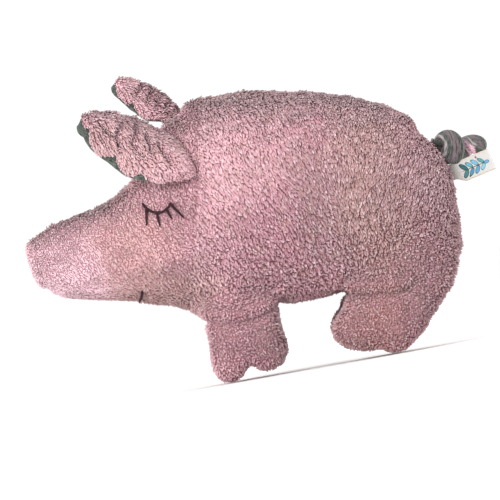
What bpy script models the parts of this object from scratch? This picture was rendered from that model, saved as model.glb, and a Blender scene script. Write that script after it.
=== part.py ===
# Plush pig on four legs: nose towards -X, its left side towards -Y, floor at z = 0.
# Head and body are one swelling form, cut into sewn panels, with the filling inside.
import math

import bpy
from mathutils import Matrix, Vector

# Head and body together, from the snout's seam to the rump
TRUNK_LENGTH = 0.3413
TRUNK_DEPTH = 0.176
TRUNK_WIDTH = 0.124
TRUNK_FRONT_SHARE = 0.537
UPPER_ROUNDNESS = 2.3
LOWER_ROUNDNESS = 3.2
TRUNK_SEGMENTS = 32
SLOPE_STEP = 0.0009

# Covers, filling and seams
COVER_WALL = 0.004
SEAM_GAP = 0.0003
LEG_FILLING_GAP = 0.0006
NECK_PLACE_SHARE = 0.385
NECK_TILT = math.radians(13)
BELLY_PANEL_WIDTH = 0.046
BELLY_PANEL_RISE = 0.030
OVERRUN = 0.020

# Snout
SNOUT_DISC_DEPTH = 0.0088
SNOUT_DISC_RISE = 0.0068

# Legs; the sole is cut flat on the floor
LEG_LENGTH = 0.0555
LEG_SPREAD = 0.060
FRONT_LEG_LENGTH = 0.0612
FRONT_LEG_THICKNESS = 0.041
FRONT_LEG_PLACE_SHARE = 0.364
REAR_LEG_LENGTH = 0.1088
REAR_LEG_THICKNESS = 0.044
REAR_LEG_PLACE_SHARE = 0.650
LEG_ROUNDNESS = 2.6
LEG_SEGMENTS = 16
SOLE_CUT = 0.0005

# Ears: a plush layer and a jersey lining, sewn to the head along one line
EAR_LENGTH = 0.095
EAR_WIDTH = 0.048
EAR_CUP = 0.006
EAR_ROOT_GAP = 0.0012
EAR_PLUSH = 0.0048
EAR_PLUSH_RIM = 0.0008
EAR_LINING = 0.0014
EAR_LINING_RIM = 0.0006
EAR_COLUMNS = 8

# Tail: a curly jersey tube, gathered into the seam at its root
TAIL_DIAMETER = 0.0138
TAIL_TIP_DIAMETER = 0.0122
TAIL_ROOT_DIAMETER = 0.0044
TAIL_COIL_RADIUS = 0.0064
TAIL_TIP_COIL_RADIUS = 0.0056
TAIL_PITCH = 0.0182
TAIL_STEM = 0.0048
TAIL_ROOT_GAP = 0.0009
TAIL_TURNS = 1.4
TAIL_TOP_TURN = 0.3
TAIL_SWELL_TURN = 0.15
TAIL_STEPS_PER_TURN = 16
TAIL_SIDES = 12
TAIL_SLOPE = math.radians(14)
TAIL_SWING = math.radians(20)

# Folded ribbon label
LABEL_LENGTH = 0.0400
LABEL_WIDTH = 0.0175
LABEL_CLOTH = 0.0005
LABEL_LAYER_GAP = 0.0004
LABEL_ROOT_GAP = 0.0008
LABEL_TURN = math.radians(37)
LABEL_RISE = math.radians(-3)
LABEL_FOLD_STEPS = 6

# Embroidered eyes and mouth
EYE_WIDTH = 0.0235
LID_RADIUS = 0.0008
LASH_RADIUS = 0.0006
MOUTH_LENGTH = 0.0075
MOUTH_RADIUS = 0.0008
THREAD_SIDES = 6

# Trunk stations, front to rear: place along the trunk, belly line and back line above
# the belly's lowest point, and width
trunk_shares = (
    (0.000, 0.258, 0.503, 0.380),
    (0.044, 0.202, 0.540, 0.468),
    (0.091, 0.176, 0.560, 0.516),
    (0.138, 0.153, 0.582, 0.565),
    (0.185, 0.136, 0.608, 0.621),
    (0.231, 0.108, 0.656, 0.685),
    (0.278, 0.088, 0.736, 0.750),
    (0.325, 0.062, 0.827, 0.815),
    (0.372, 0.031, 0.918, 0.871),
    (0.419, 0.011, 0.983, 0.919),
    (0.472, 0.000, 1.000, 0.960),
    (0.536, 0.000, 0.997, 0.992),
    (0.609, 0.000, 0.974, 1.000),
    (0.683, 0.003, 0.943, 0.984),
    (0.753, 0.003, 0.903, 0.944),
    (0.817, 0.006, 0.861, 0.879),
    (0.870, 0.014, 0.812, 0.790),
    (0.911, 0.031, 0.747, 0.677),
    (0.946, 0.060, 0.650, 0.556),
    (0.973, 0.099, 0.571, 0.435),
    (0.990, 0.162, 0.486, 0.310),
    (1.000, 0.225, 0.405, 0.200),
)

# Snout disc rings, seam to tip: depth, size and rise
disc_shares = (
    (0.00, 1.00, 0.0),
    (0.35, 0.95, 0.2),
    (0.70, 0.80, 0.5),
    (0.92, 0.58, 0.8),
    (1.00, 0.25, 1.0),
)

# Leg stations, front to rear: place along the leg, sole above the floor, top above the
# belly line, thickness and spread; the notch between the toes is where the sole rises
front_leg_shares = (
    (0.00, 0.52, 0.00, 0.34, 1.0),
    (0.04, 0.24, 0.12, 0.72, 1.0),
    (0.09, 0.08, 0.16, 0.92, 1.0),
    (0.17, 0.00, 0.18, 1.00, 1.0),
    (0.26, 0.04, 0.19, 1.00, 1.0),
    (0.38, 0.13, 0.20, 0.98, 1.0),
    (0.47, 0.21, 0.20, 0.93, 1.0),
    (0.56, 0.14, 0.20, 0.98, 1.0),
    (0.68, 0.10, 0.20, 1.00, 1.0),
    (0.80, 0.105, 0.19, 0.98, 1.0),
    (0.90, 0.17, 0.17, 0.88, 1.0),
    (0.97, 0.32, 0.12, 0.68, 1.0),
    (1.00, 0.56, 0.00, 0.34, 1.0),
)
rear_leg_shares = (
    (0.000, 0.34, -0.140, 0.40, 1.00),
    (0.024, 0.25, -0.105, 0.70, 1.00),
    (0.066, 0.19, -0.070, 0.88, 1.00),
    (0.125, 0.17, -0.015, 0.97, 1.00),
    (0.180, 0.155, 0.075, 1.00, 1.00),
    (0.235, 0.14, 0.175, 1.00, 1.00),
    (0.306, 0.125, 0.245, 1.00, 1.00),
    (0.351, 0.13, 0.275, 0.97, 1.00),
    (0.387, 0.05, 0.28, 0.99, 1.00),
    (0.423, 0.00, 0.285, 1.00, 1.00),
    (0.486, 0.01, 0.29, 1.00, 1.00),
    (0.545, 0.09, 0.30, 0.98, 1.00),
    (0.613, 0.19, 0.30, 0.96, 0.98),
    (0.694, 0.315, 0.30, 0.93, 0.95),
    (0.784, 0.495, 0.285, 0.87, 0.88),
    (0.865, 0.676, 0.265, 0.78, 0.80),
    (0.928, 0.838, 0.24, 0.66, 0.72),
    (0.973, 0.99, 0.21, 0.50, 0.63),
    (1.000, 1.12, 0.17, 0.34, 0.56),
)

# Ear rows, root to tip: place along the ear and width
ear_shares = (
    (0.00, 0.95),
    (0.10, 0.95),
    (0.22, 0.97),
    (0.36, 1.00),
    (0.50, 1.00),
    (0.64, 0.94),
    (0.78, 0.85),
    (0.89, 0.67),
    (0.96, 0.48),
    (1.00, 0.28),
)
ear_twist_end_share = 0.7
ear_root_shares = ((0.363, 0.827), (0.404, 0.611))
left_ear_pose_shares = {
    "tip": (-0.820, -0.360, 0.460),
    "bend": (-0.468, -0.210, 0.168),
    "edge": (-0.600, -0.100, -0.790),
}
right_ear_pose_shares = {
    "tip": (-0.465, 0.050, 0.778),
    "bend": (0.045, 0.270, 0.500),
    "edge": (0.440, 0.850, 0.290),
}

# Rump seam heights above the belly line
tail_height_share = 0.562
label_height_share = 0.440

# Tail thickness where its stem ends
tail_swell_share = 0.70

# Eye, in widths of the lid from its middle, and mouth stitch, in its own length
eye_place_shares = (0.298, 0.537)
lid_shares = (
    (-0.49, 0.165),
    (-0.42, 0.04),
    (-0.32, -0.06),
    (-0.18, -0.16),
    (-0.02, -0.22),
    (0.14, -0.215),
    (0.29, -0.15),
    (0.40, -0.06),
    (0.475, 0.02),
)
lash_shares = (
    ((-0.38, 0.00), (-0.42, -0.27), (-0.46, -0.54)),
    ((-0.06, -0.20), (-0.04, -0.42), (-0.03, -0.64)),
    ((0.29, -0.15), (0.34, -0.31), (0.40, -0.46)),
    ((0.46, 0.01), (0.63, -0.25), (0.80, -0.50)),
)
mouth_place_shares = (0.223, 0.150)
mouth_shares = ((0.20, 0.45), (0.10, 0.10), (-0.10, -0.25), (-0.30, -0.50))

trunk_front_x = -TRUNK_FRONT_SHARE * TRUNK_LENGTH


def clear_scene():
    for item in list(bpy.data.objects):
        bpy.data.objects.remove(item, do_unlink=True)


def make_material(name, colour, roughness):
    material = bpy.data.materials.new(name)
    material.use_nodes = True
    shader = material.node_tree.nodes["Principled BSDF"]
    shader.inputs["Base Color"].default_value = (*colour, 1.0)
    shader.inputs["Roughness"].default_value = roughness
    shader.inputs["Metallic"].default_value = 0.0
    return material


def pile_material(name):
    return make_material(name, (0.55, 0.32, 0.36), 0.95)


def filling_material(name):
    return make_material(name, (0.78, 0.75, 0.68), 1.0)


def jersey_material(name):
    return make_material(name, (0.13, 0.15, 0.14), 0.9)


def ribbon_material(name):
    return make_material(name, (0.72, 0.71, 0.66), 0.6)


def thread_material(name):
    return make_material(name, (0.05, 0.02, 0.025), 0.7)


def add_object(name, mesh, material=None):
    item = bpy.data.objects.new(name, mesh)
    bpy.context.scene.collection.objects.link(item)
    if material:
        mesh.materials.append(material(name))
        mesh.shade_smooth()
        mesh.set_sharp_from_angle(angle=math.radians(40))
    else:
        item.hide_render = True
        item.display_type = "WIRE"
    return item


def loft_mesh(name, rings):
    """Closed mesh through rings of equal counts, with a flat face at each end."""
    count = len(rings[0])
    points = [point for ring in rings for point in ring]
    faces = []
    for row in range(len(rings) - 1):
        for k in range(count):
            a, b = row * count + k, row * count + (k + 1) % count
            faces.append((a, b, b + count, a + count))
    faces.append(tuple(reversed(range(count))))
    faces.append(tuple(range((len(rings) - 1) * count, len(rings) * count)))
    mesh = bpy.data.meshes.new(name)
    mesh.from_pydata([tuple(point) for point in points], [], faces)
    if signed_volume(points, faces) < 0:
        mesh.flip_normals()
    return mesh


def signed_volume(points, faces):
    total = 0.0
    for face in faces:
        first = points[face[0]]
        for k in range(1, len(face) - 1):
            total += first.dot(points[face[k]].cross(points[face[k + 1]]))
    return total / 6


def block_mesh(name, low, high, matrix=None):
    corners = ((low[0], low[1]), (high[0], low[1]), (high[0], high[1]), (low[0], high[1]))
    mesh = loft_mesh(name, [[Vector((x, y, z)) for x, y in corners] for z in (low[2], high[2])])
    if matrix:
        mesh.transform(matrix)
    return mesh


def boolean(item, other, operation):
    modifier = item.modifiers.new(other.name, "BOOLEAN")
    modifier.object = other
    modifier.operation = operation
    modifier.solver = "EXACT"


def oval(half_width, half_height, upper, lower, count):
    """Across and up of points round a closed curve, of its own roundness above and below."""
    places = []
    for k in range(count):
        angle = 2 * math.pi * (k + 0.5) / count
        across, up = math.cos(angle), math.sin(angle)
        power = 2 / (upper if up > 0 else lower)
        places.append((
            math.copysign(abs(across) ** power, across) * half_width,
            math.copysign(abs(up) ** power, up) * half_height,
        ))
    return places


def trunk_oval(half_width, half_height):
    return oval(half_width, half_height, UPPER_ROUNDNESS, LOWER_ROUNDNESS, TRUNK_SEGMENTS)


# Trunk

def trunk_station(row):
    along, belly, back, width = row
    x = trunk_front_x + along * TRUNK_LENGTH
    low = LEG_LENGTH + belly * TRUNK_DEPTH
    high = LEG_LENGTH + back * TRUNK_DEPTH
    return x, (low + high) / 2, (high - low) / 2, width * TRUNK_WIDTH / 2


def trunk_mesh(name, inset, front_overrun):
    """The trunk's form, drawn in by inset all round, with its front end moved out."""
    rings = []
    for number, row in enumerate(trunk_shares):
        x, middle, half_height, half_width = trunk_station(row)
        x = trunk_front_x + (x - trunk_front_x) * (TRUNK_LENGTH - inset) / TRUNK_LENGTH
        if number == 0:
            x -= front_overrun
        places = trunk_oval(half_width - inset, half_height - inset)
        rings.append([Vector((x, y, middle + z)) for y, z in places])
    return loft_mesh(name, rings)


def trunk_side(x, z):
    """Half width of the trunk's side at a place seen from the side."""
    stations = [trunk_station(row) for row in trunk_shares]
    for front, rear in zip(stations, stations[1:]):
        if front[0] <= x <= rear[0]:
            t = (x - front[0]) / (rear[0] - front[0])
            middle, half_height, half_width = (a + (b - a) * t for a, b in zip(front[1:], rear[1:]))
            share = (z - middle) / half_height
            power = UPPER_ROUNDNESS if share > 0 else LOWER_ROUNDNESS
            return half_width * max(0.0, 1 - abs(share) ** power) ** (1 / power)
    return 0.0


def on_trunk(x, z, side, lift):
    """Point on the trunk's side, lifted off it along its normal; side is -1 for left."""
    step = SLOPE_STEP
    slope_x = (trunk_side(x + step, z) - trunk_side(x - step, z)) / (2 * step)
    slope_z = (trunk_side(x, z + step) - trunk_side(x, z - step)) / (2 * step)
    normal = Vector((-slope_x, 1.0, -slope_z)).normalized()
    point = Vector((x, trunk_side(x, z), z)) + normal * lift
    return Vector((point.x, side * point.y, point.z))


def trunk_place(along, height):
    return trunk_front_x + along * TRUNK_LENGTH, LEG_LENGTH + height * TRUNK_DEPTH


def rump_seam(height):
    """Point and outward direction on the rump's middle seam at a height above the belly."""
    rear = next(k for k, row in enumerate(trunk_shares) if k and row[0] > 0.5 and row[2] < height)
    (along, _, top, _), (next_along, _, next_top, _) = trunk_shares[rear - 1], trunk_shares[rear]
    t = (top - height) / (top - next_top)
    x, z = trunk_place(along + (next_along - along) * t, height)
    run = Vector(((next_along - along) * TRUNK_LENGTH, 0, (next_top - top) * TRUNK_DEPTH))
    return Vector((x, 0, z)), Vector((-run.z, 0, run.x)).normalized()


def neck_zone(name, side, direction):
    """Space ahead of the neck seam (direction -1) or behind it (1), on one side or both."""
    x, z = trunk_place(NECK_PLACE_SHARE, 0.5)
    near, far = sorted((direction * SEAM_GAP / 2, direction * TRUNK_LENGTH))
    left = -TRUNK_WIDTH if side <= 0 else SEAM_GAP / 2
    right = TRUNK_WIDTH if side >= 0 else -SEAM_GAP / 2
    place = Matrix.Translation((x, 0, z)) @ Matrix.Rotation(NECK_TILT, 4, "Y")
    low, high = (near, left, -TRUNK_LENGTH), (far, right, TRUNK_LENGTH)
    return add_object(name, block_mesh(name, low, high, place))


def belly_block(name, gap):
    x, _ = trunk_place(NECK_PLACE_SHARE, 0)
    half = BELLY_PANEL_WIDTH / 2 + gap
    low = (x - OVERRUN, -half, LEG_LENGTH - OVERRUN)
    high = (x + TRUNK_LENGTH, half, LEG_LENGTH + BELLY_PANEL_RISE + gap)
    return add_object(name, block_mesh(name, low, high))


def add_trunk():
    hollow = add_object("trunk_hollow_guide", trunk_mesh("trunk_hollow", COVER_WALL, OVERRUN))
    panel_space = belly_block("belly_space_guide", 0)
    panel_clearance = belly_block("belly_clearance_guide", SEAM_GAP)
    zones = {}
    for part, direction in (("head", -1), ("body", 1)):
        for word, side in (("left", -1), ("right", 1)):
            zones[part, word] = neck_zone(f"{part}_{word}_guide", side, direction)
        zones[part, "whole"] = neck_zone(f"{part}_whole_guide", 0, direction)
    for part in ("head", "body"):
        for word in ("left", "right"):
            name = f"{part}_cover_{word}"
            cover = add_object(name, trunk_mesh(name, 0, 0), pile_material)
            boolean(cover, zones[part, word], "INTERSECT")
            boolean(cover, hollow, "DIFFERENCE")
            if part == "body":
                boolean(cover, panel_clearance, "DIFFERENCE")
        name = f"{part}_filling"
        filling = add_object(name, trunk_mesh(name, COVER_WALL + SEAM_GAP, 0), filling_material)
        boolean(filling, zones[part, "whole"], "INTERSECT")
    belly = add_object("belly_panel", trunk_mesh("belly_panel", 0, 0), pile_material)
    boolean(belly, zones["body", "whole"], "INTERSECT")
    boolean(belly, panel_space, "INTERSECT")
    boolean(belly, hollow, "DIFFERENCE")


def add_snout_disc():
    x, middle, half_height, half_width = trunk_station(trunk_shares[0])
    rings = []
    for depth, size, rise in disc_shares:
        front = x - SEAM_GAP - depth * SNOUT_DISC_DEPTH
        centre = middle + rise * SNOUT_DISC_RISE
        places = trunk_oval(half_width * size, half_height * size)
        rings.append([Vector((front, y, centre + z)) for y, z in places])
    add_object("snout_disc", loft_mesh("snout_disc", rings), pile_material)


# Legs

def leg_rings(shares, front_x, length, thickness, side, inset):
    """Rings from the leg's front to its rear, drawn in about its middle by inset."""
    tallest = LEG_LENGTH + max(row[2] for row in shares) * TRUNK_DEPTH
    middle_x, middle_z = front_x + length / 2, tallest / 2
    along_scale = 1 - 2 * inset / length
    across_scale = 1 - 2 * inset / thickness
    up_scale = 1 - 2 * inset / tallest
    rings = []
    for along, sole, top, width, spread in shares:
        low, high = sole * LEG_LENGTH, LEG_LENGTH + top * TRUNK_DEPTH
        x = middle_x + (front_x + along * length - middle_x) * along_scale
        y = side * spread * LEG_SPREAD / 2
        z = middle_z + ((low + high) / 2 - middle_z) * up_scale
        half_width, half_height = width * thickness / 2 * across_scale, (high - low) / 2 * up_scale
        places = oval(half_width, half_height, LEG_ROUNDNESS, LEG_ROUNDNESS, LEG_SEGMENTS)
        rings.append([Vector((x, y + across, z + up)) for across, up in places])
    return rings


def add_leg(name, shares, front_x, length, thickness, side, trunk_space, floor):
    outer = leg_rings(shares, front_x, length, thickness, side, 0)
    drop = Matrix.Translation((0, 0, -SOLE_CUT - min(point.z for ring in outer for point in ring)))

    def leg_mesh(mesh_name, inset):
        mesh = loft_mesh(mesh_name, leg_rings(shares, front_x, length, thickness, side, inset))
        mesh.transform(drop)
        return mesh

    hollow = add_object(f"{name}_hollow_guide", leg_mesh(f"{name}_hollow", COVER_WALL))
    cover = add_object(f"{name}_cover", leg_mesh(f"{name}_cover", 0), pile_material)
    boolean(cover, trunk_space, "DIFFERENCE")
    boolean(cover, hollow, "DIFFERENCE")
    boolean(cover, floor, "DIFFERENCE")
    inner = leg_mesh(f"{name}_filling", COVER_WALL + LEG_FILLING_GAP)
    filling = add_object(f"{name}_filling", inner, filling_material)
    boolean(filling, trunk_space, "DIFFERENCE")


def add_legs():
    trunk_space = add_object("trunk_space_guide", trunk_mesh("trunk_space", -SEAM_GAP, SEAM_GAP))
    reach = TRUNK_LENGTH
    floor = add_object("floor_guide", block_mesh("floor", (-reach, -reach, -OVERRUN), (reach, reach, 0)))
    kinds = (
        ("front", front_leg_shares, FRONT_LEG_PLACE_SHARE, FRONT_LEG_LENGTH, FRONT_LEG_THICKNESS),
        ("rear", rear_leg_shares, REAR_LEG_PLACE_SHARE, REAR_LEG_LENGTH, REAR_LEG_THICKNESS),
    )
    for kind, shares, place, length, thickness in kinds:
        front_x, _ = trunk_place(place, 0)
        for word, side in (("left", -1), ("right", 1)):
            name = f"{kind}_{word}_leg"
            add_leg(name, shares, front_x, length, thickness, side, trunk_space, floor)


# Ears

def hinge_empty(name, point, axis):
    """Empty whose own Z runs along a joint's axis."""
    empty = bpy.data.objects.new(name, None)
    bpy.context.scene.collection.objects.link(empty)
    empty.matrix_world = Matrix.Translation(point) @ axis.to_track_quat("Z", "Y").to_matrix().to_4x4()
    bpy.context.view_layer.update()
    return empty


def hang_on(item, empty):
    item.parent = empty
    item.matrix_parent_inverse = empty.matrix_world.inverted()


def ease(t):
    t = min(1.0, max(0.0, t))
    return t * t * (3 - 2 * t)


def ear_rows(side, pose):
    """Rows of (point, normal) pairs on the ear's middle sheet, root to tip."""
    columns = [2 * k / (EAR_COLUMNS - 1) - 1 for k in range(EAR_COLUMNS)]
    (upper, lower) = (trunk_place(*place) for place in ear_root_shares)
    root = []
    for v in columns:
        t = (v + 1) / 2
        x, z = (a + (b - a) * t for a, b in zip(upper, lower))
        root.append(on_trunk(x, z, side, EAR_ROOT_GAP))
    start = (root[0] + root[-1]) / 2
    root_half = (root[-1] - root[0]).length / 2
    root_edge = (root[-1] - root[0]).normalized()
    bend = start + Vector(pose["bend"]) * EAR_LENGTH
    tip = start + Vector(pose["tip"]) * EAR_LENGTH
    edge = Vector(pose["edge"]).normalized()
    rows = []
    for u, width in ear_shares:
        centre = start * (1 - u) ** 2 + bend * (2 * u * (1 - u)) + tip * u * u
        heading = ((bend - start) * (1 - u) + (tip - bend) * u).normalized()
        across = root_edge.lerp(edge, ease(u / ear_twist_end_share)).normalized()
        normal = (across.cross(heading) * side).normalized()
        near_root = ease(1 - u / ear_twist_end_share)
        half = width * EAR_WIDTH / 2
        half += (root_half - half) * near_root
        row = []
        for v, root_point in zip(columns, root):
            straight = start + root_edge * (root_half * v)
            bow = (root_point - straight) * near_root - normal * (EAR_CUP * v * v * (1 - near_root))
            row.append((centre + across * (half * v) + bow, normal, v, u))
        rows.append(row)
    return rows, root


def ear_layer_mesh(name, rows, near, rim, full, direction):
    """A layer from near the middle sheet out to its thickness, thin at the rim."""
    inner, outer = [], []
    for row in rows:
        for point, normal, v, u in row:
            swell = (1 - v ** 4) * 4 * u * (1 - u)
            inner.append(point + normal * (direction * near))
            outer.append(point + normal * (direction * (near + rim + (full - rim) * swell)))
    count, columns = len(inner), len(rows[0])
    faces = []
    for r in range(len(rows) - 1):
        for k in range(columns - 1):
            a = r * columns + k
            quad = (a, a + 1, a + 1 + columns, a + columns)
            faces.append(quad)
            faces.append(tuple(count + index for index in reversed(quad)))
    border = [k for k in range(columns)]
    border += [r * columns + columns - 1 for r in range(1, len(rows))]
    border += [(len(rows) - 1) * columns + k for k in range(columns - 2, -1, -1)]
    border += [r * columns for r in range(len(rows) - 2, 0, -1)]
    for a, b in zip(border, border[1:] + border[:1]):
        faces.append((b, a, a + count, b + count))
    points = inner + outer
    mesh = bpy.data.meshes.new(name)
    mesh.from_pydata([tuple(point) for point in points], [], faces)
    if signed_volume(points, faces) < 0:
        mesh.flip_normals()
    return mesh


def add_ear(word, side, pose):
    rows, root = ear_rows(side, pose)
    third, last = root[len(root) // 4], root[-1 - len(root) // 4]
    hinge = hinge_empty(f"{word}_ear_hinge", (third + last) / 2, third - last)
    layers = (
        ("plush", EAR_PLUSH_RIM, EAR_PLUSH, 1, pile_material),
        ("lining", EAR_LINING_RIM, EAR_LINING, -1, jersey_material),
    )
    for layer, rim, full, direction, material in layers:
        name = f"{word}_ear_{layer}"
        mesh = ear_layer_mesh(name, rows, SEAM_GAP / 2, rim, full, direction)
        hang_on(add_object(name, mesh, material), hinge)


# Tail, label and embroidery

def tube_rings(points, radii, sides):
    rings = []
    heading = (points[1] - points[0]).normalized()
    normal = heading.orthogonal().normalized()
    for k, (point, radius) in enumerate(zip(points, radii)):
        new_heading = (points[min(k + 1, len(points) - 1)] - points[max(k - 1, 0)]).normalized()
        normal = (heading.rotation_difference(new_heading) @ normal).normalized()
        heading = new_heading
        across = heading.cross(normal)
        angles = [2 * math.pi * side / sides for side in range(sides)]
        rings.append([point + (normal * math.cos(a) + across * math.sin(a)) * radius for a in angles])
    return rings


def tail_line():
    """Centre line and radii of the tail, from its root in the seam to its tip."""
    seam, outward = rump_seam(tail_height_share)
    root = seam + outward * TAIL_ROOT_GAP
    near = Vector((math.sin(TAIL_SWING), -math.cos(TAIL_SWING), 0))
    level = Vector((math.cos(TAIL_SWING), math.sin(TAIL_SWING), 0))
    axis = Vector((level.x * math.cos(TAIL_SLOPE), level.y * math.cos(TAIL_SLOPE), -math.sin(TAIL_SLOPE)))
    up = near.cross(axis)
    full, tip, gathered = TAIL_DIAMETER / 2, TAIL_TIP_DIAMETER / 2, TAIL_ROOT_DIAMETER / 2
    steps = round(TAIL_TURNS * TAIL_STEPS_PER_TURN)
    coil, radii = [], []
    for k in range(steps + 1):
        turn = k / TAIL_STEPS_PER_TURN
        angle = 2 * math.pi * (turn - TAIL_TOP_TURN)
        reach = TAIL_COIL_RADIUS + (TAIL_TIP_COIL_RADIUS - TAIL_COIL_RADIUS) * k / steps
        coil.append(axis * (TAIL_PITCH * turn) + (up * math.cos(angle) + near * math.sin(angle)) * reach)
        plump = tail_swell_share + (1 - tail_swell_share) * ease(turn / TAIL_SWELL_TURN)
        radii.append((full + (tip - full) * k / steps) * plump)
    start = root + outward * TAIL_STEM - coil[0]
    stem = [(root, gathered), (root + outward * (TAIL_STEM / 2), (gathered + radii[0]) / 2)]
    points = [point for point, _ in stem] + [start + point for point in coil]
    radii = [radius for _, radius in stem] + radii
    end, heading = points[-1], (points[-1] - points[-2]).normalized()
    for angle in (math.radians(30), math.radians(60), math.radians(80)):
        points.append(end + heading * (tip * math.sin(angle)))
        radii.append(tip * math.cos(angle))
    return points, radii


def least_self_gap(points, radii):
    """Least gap of a tube to itself, past the stretch where the two places are neighbours."""
    best = None
    for i, first in enumerate(points):
        run = 0.0
        for j in range(i + 1, len(points)):
            run += (points[j] - points[j - 1]).length
            if run > math.pi * (radii[i] + radii[j]) / 2:
                gap = (points[j] - first).length - radii[i] - radii[j]
                best = gap if best is None else min(best, gap)
    return best


def add_tail():
    points, radii = tail_line()
    hinge = hinge_empty("tail_hinge", points[0], Vector((0, 0, 1)))
    tail = add_object("tail", loft_mesh("tail", tube_rings(points, radii, TAIL_SIDES)), jersey_material)
    hang_on(tail, hinge)
    print(f"tail: least gap to itself {least_self_gap(points, radii) * 1000:.2f} mm")


def add_label():
    """A strip folded back on itself, with its two ends in the seam."""
    seam, outward = rump_seam(label_height_share)
    down = Vector((outward.z, 0, -outward.x))
    root = seam + outward * LABEL_ROOT_GAP
    spin = Matrix.Rotation(LABEL_TURN, 3, down) @ Matrix.Rotation(-LABEL_RISE, 3, "Y")
    out, side, wide = spin @ outward, spin @ Vector((0, 1, 0)), spin @ down
    inner, outer = LABEL_LAYER_GAP / 2, LABEL_LAYER_GAP / 2 + LABEL_CLOTH
    bend = LABEL_LENGTH - outer
    angles = [math.pi * (k / LABEL_FOLD_STEPS - 0.5) for k in range(LABEL_FOLD_STEPS + 1)]
    outline = [(0, -outer)]
    outline += [(bend + outer * math.cos(a), outer * math.sin(a)) for a in angles]
    outline += [(0, outer), (0, inner)]
    outline += [(bend + inner * math.cos(a), inner * math.sin(a)) for a in reversed(angles)]
    outline += [(0, -inner)]
    rings = [
        [root + out * along + side * across + wide * (LABEL_WIDTH * edge) for along, across in outline]
        for edge in (-0.5, 0.5)
    ]
    label = add_object("label_ribbon", loft_mesh("label_ribbon", rings), ribbon_material)
    hang_on(label, hinge_empty("label_hinge", root, -down))


def thread_mesh(name, places, centre, size, side, radius):
    """A thread laid on the head through places given in sizes from a centre."""
    points = [
        on_trunk(centre[0] + across * size, centre[1] + up * size, side, LID_RADIUS + SEAM_GAP)
        for across, up in places
    ]
    return loft_mesh(name, tube_rings(points, [radius] * len(points), THREAD_SIDES))


def add_face(word, side):
    centre = trunk_place(*eye_place_shares)
    name = f"{word}_eye"
    lid = thread_mesh(name, lid_shares, centre, EYE_WIDTH, side, LID_RADIUS)
    eye = add_object(name, lid, thread_material)
    for number, places in enumerate(lash_shares):
        lash_name = f"{word}_lash_guide_{number + 1}"
        lash = add_object(lash_name, thread_mesh(lash_name, places, centre, EYE_WIDTH, side, LASH_RADIUS))
        boolean(eye, lash, "UNION")
    name = f"{word}_mouth_stitch"
    centre = trunk_place(*mouth_place_shares)
    mesh = thread_mesh(name, mouth_shares, centre, MOUTH_LENGTH, side, MOUTH_RADIUS)
    add_object(name, mesh, thread_material)


def build():
    clear_scene()
    add_trunk()
    add_snout_disc()
    add_legs()
    add_ear("left", -1, left_ear_pose_shares)
    add_ear("right", 1, right_ear_pose_shares)
    add_tail()
    add_label()
    add_face("left", -1)
    add_face("right", 1)


build()
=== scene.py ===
# Plush pig in short curly pile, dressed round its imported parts
import math

import bmesh
import bpy
import numpy as np
from mathutils import Matrix, Vector, noise
from mathutils.bvhtree import BVHTree
from mathutils.kdtree import KDTree


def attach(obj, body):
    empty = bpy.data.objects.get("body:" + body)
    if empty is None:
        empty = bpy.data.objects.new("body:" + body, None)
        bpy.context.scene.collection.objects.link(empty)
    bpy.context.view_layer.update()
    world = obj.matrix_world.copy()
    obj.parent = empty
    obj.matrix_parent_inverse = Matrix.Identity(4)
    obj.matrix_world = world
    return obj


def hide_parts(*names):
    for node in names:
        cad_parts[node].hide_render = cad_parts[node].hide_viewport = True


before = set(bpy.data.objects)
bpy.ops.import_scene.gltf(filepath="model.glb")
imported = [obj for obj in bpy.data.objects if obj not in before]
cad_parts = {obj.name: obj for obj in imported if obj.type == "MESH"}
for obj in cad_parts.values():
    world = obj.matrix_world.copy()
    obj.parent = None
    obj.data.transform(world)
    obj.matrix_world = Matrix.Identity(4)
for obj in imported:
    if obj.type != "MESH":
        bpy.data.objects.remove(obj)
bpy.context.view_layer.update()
print("frame loaded:", len(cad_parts), "nodes")


# Wiring of node trees, for materials and for Geometry Nodes

class Wire:
    def __init__(self, net, socket):
        self.net, self.socket = net, socket

    def __add__(self, other):
        return self.net.maths("ADD", self, other)

    def __sub__(self, other):
        return self.net.maths("SUBTRACT", self, other)

    def __rsub__(self, other):
        return self.net.maths("SUBTRACT", other, self)

    def __mul__(self, other):
        return self.net.maths("MULTIPLY", self, other)

    def __truediv__(self, other):
        return self.net.maths("DIVIDE", self, other)

    def __rtruediv__(self, other):
        return self.net.maths("DIVIDE", other, self)

    def __pow__(self, other):
        return self.net.maths("POWER", self, other)

    __radd__, __rmul__ = __add__, __mul__


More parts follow.
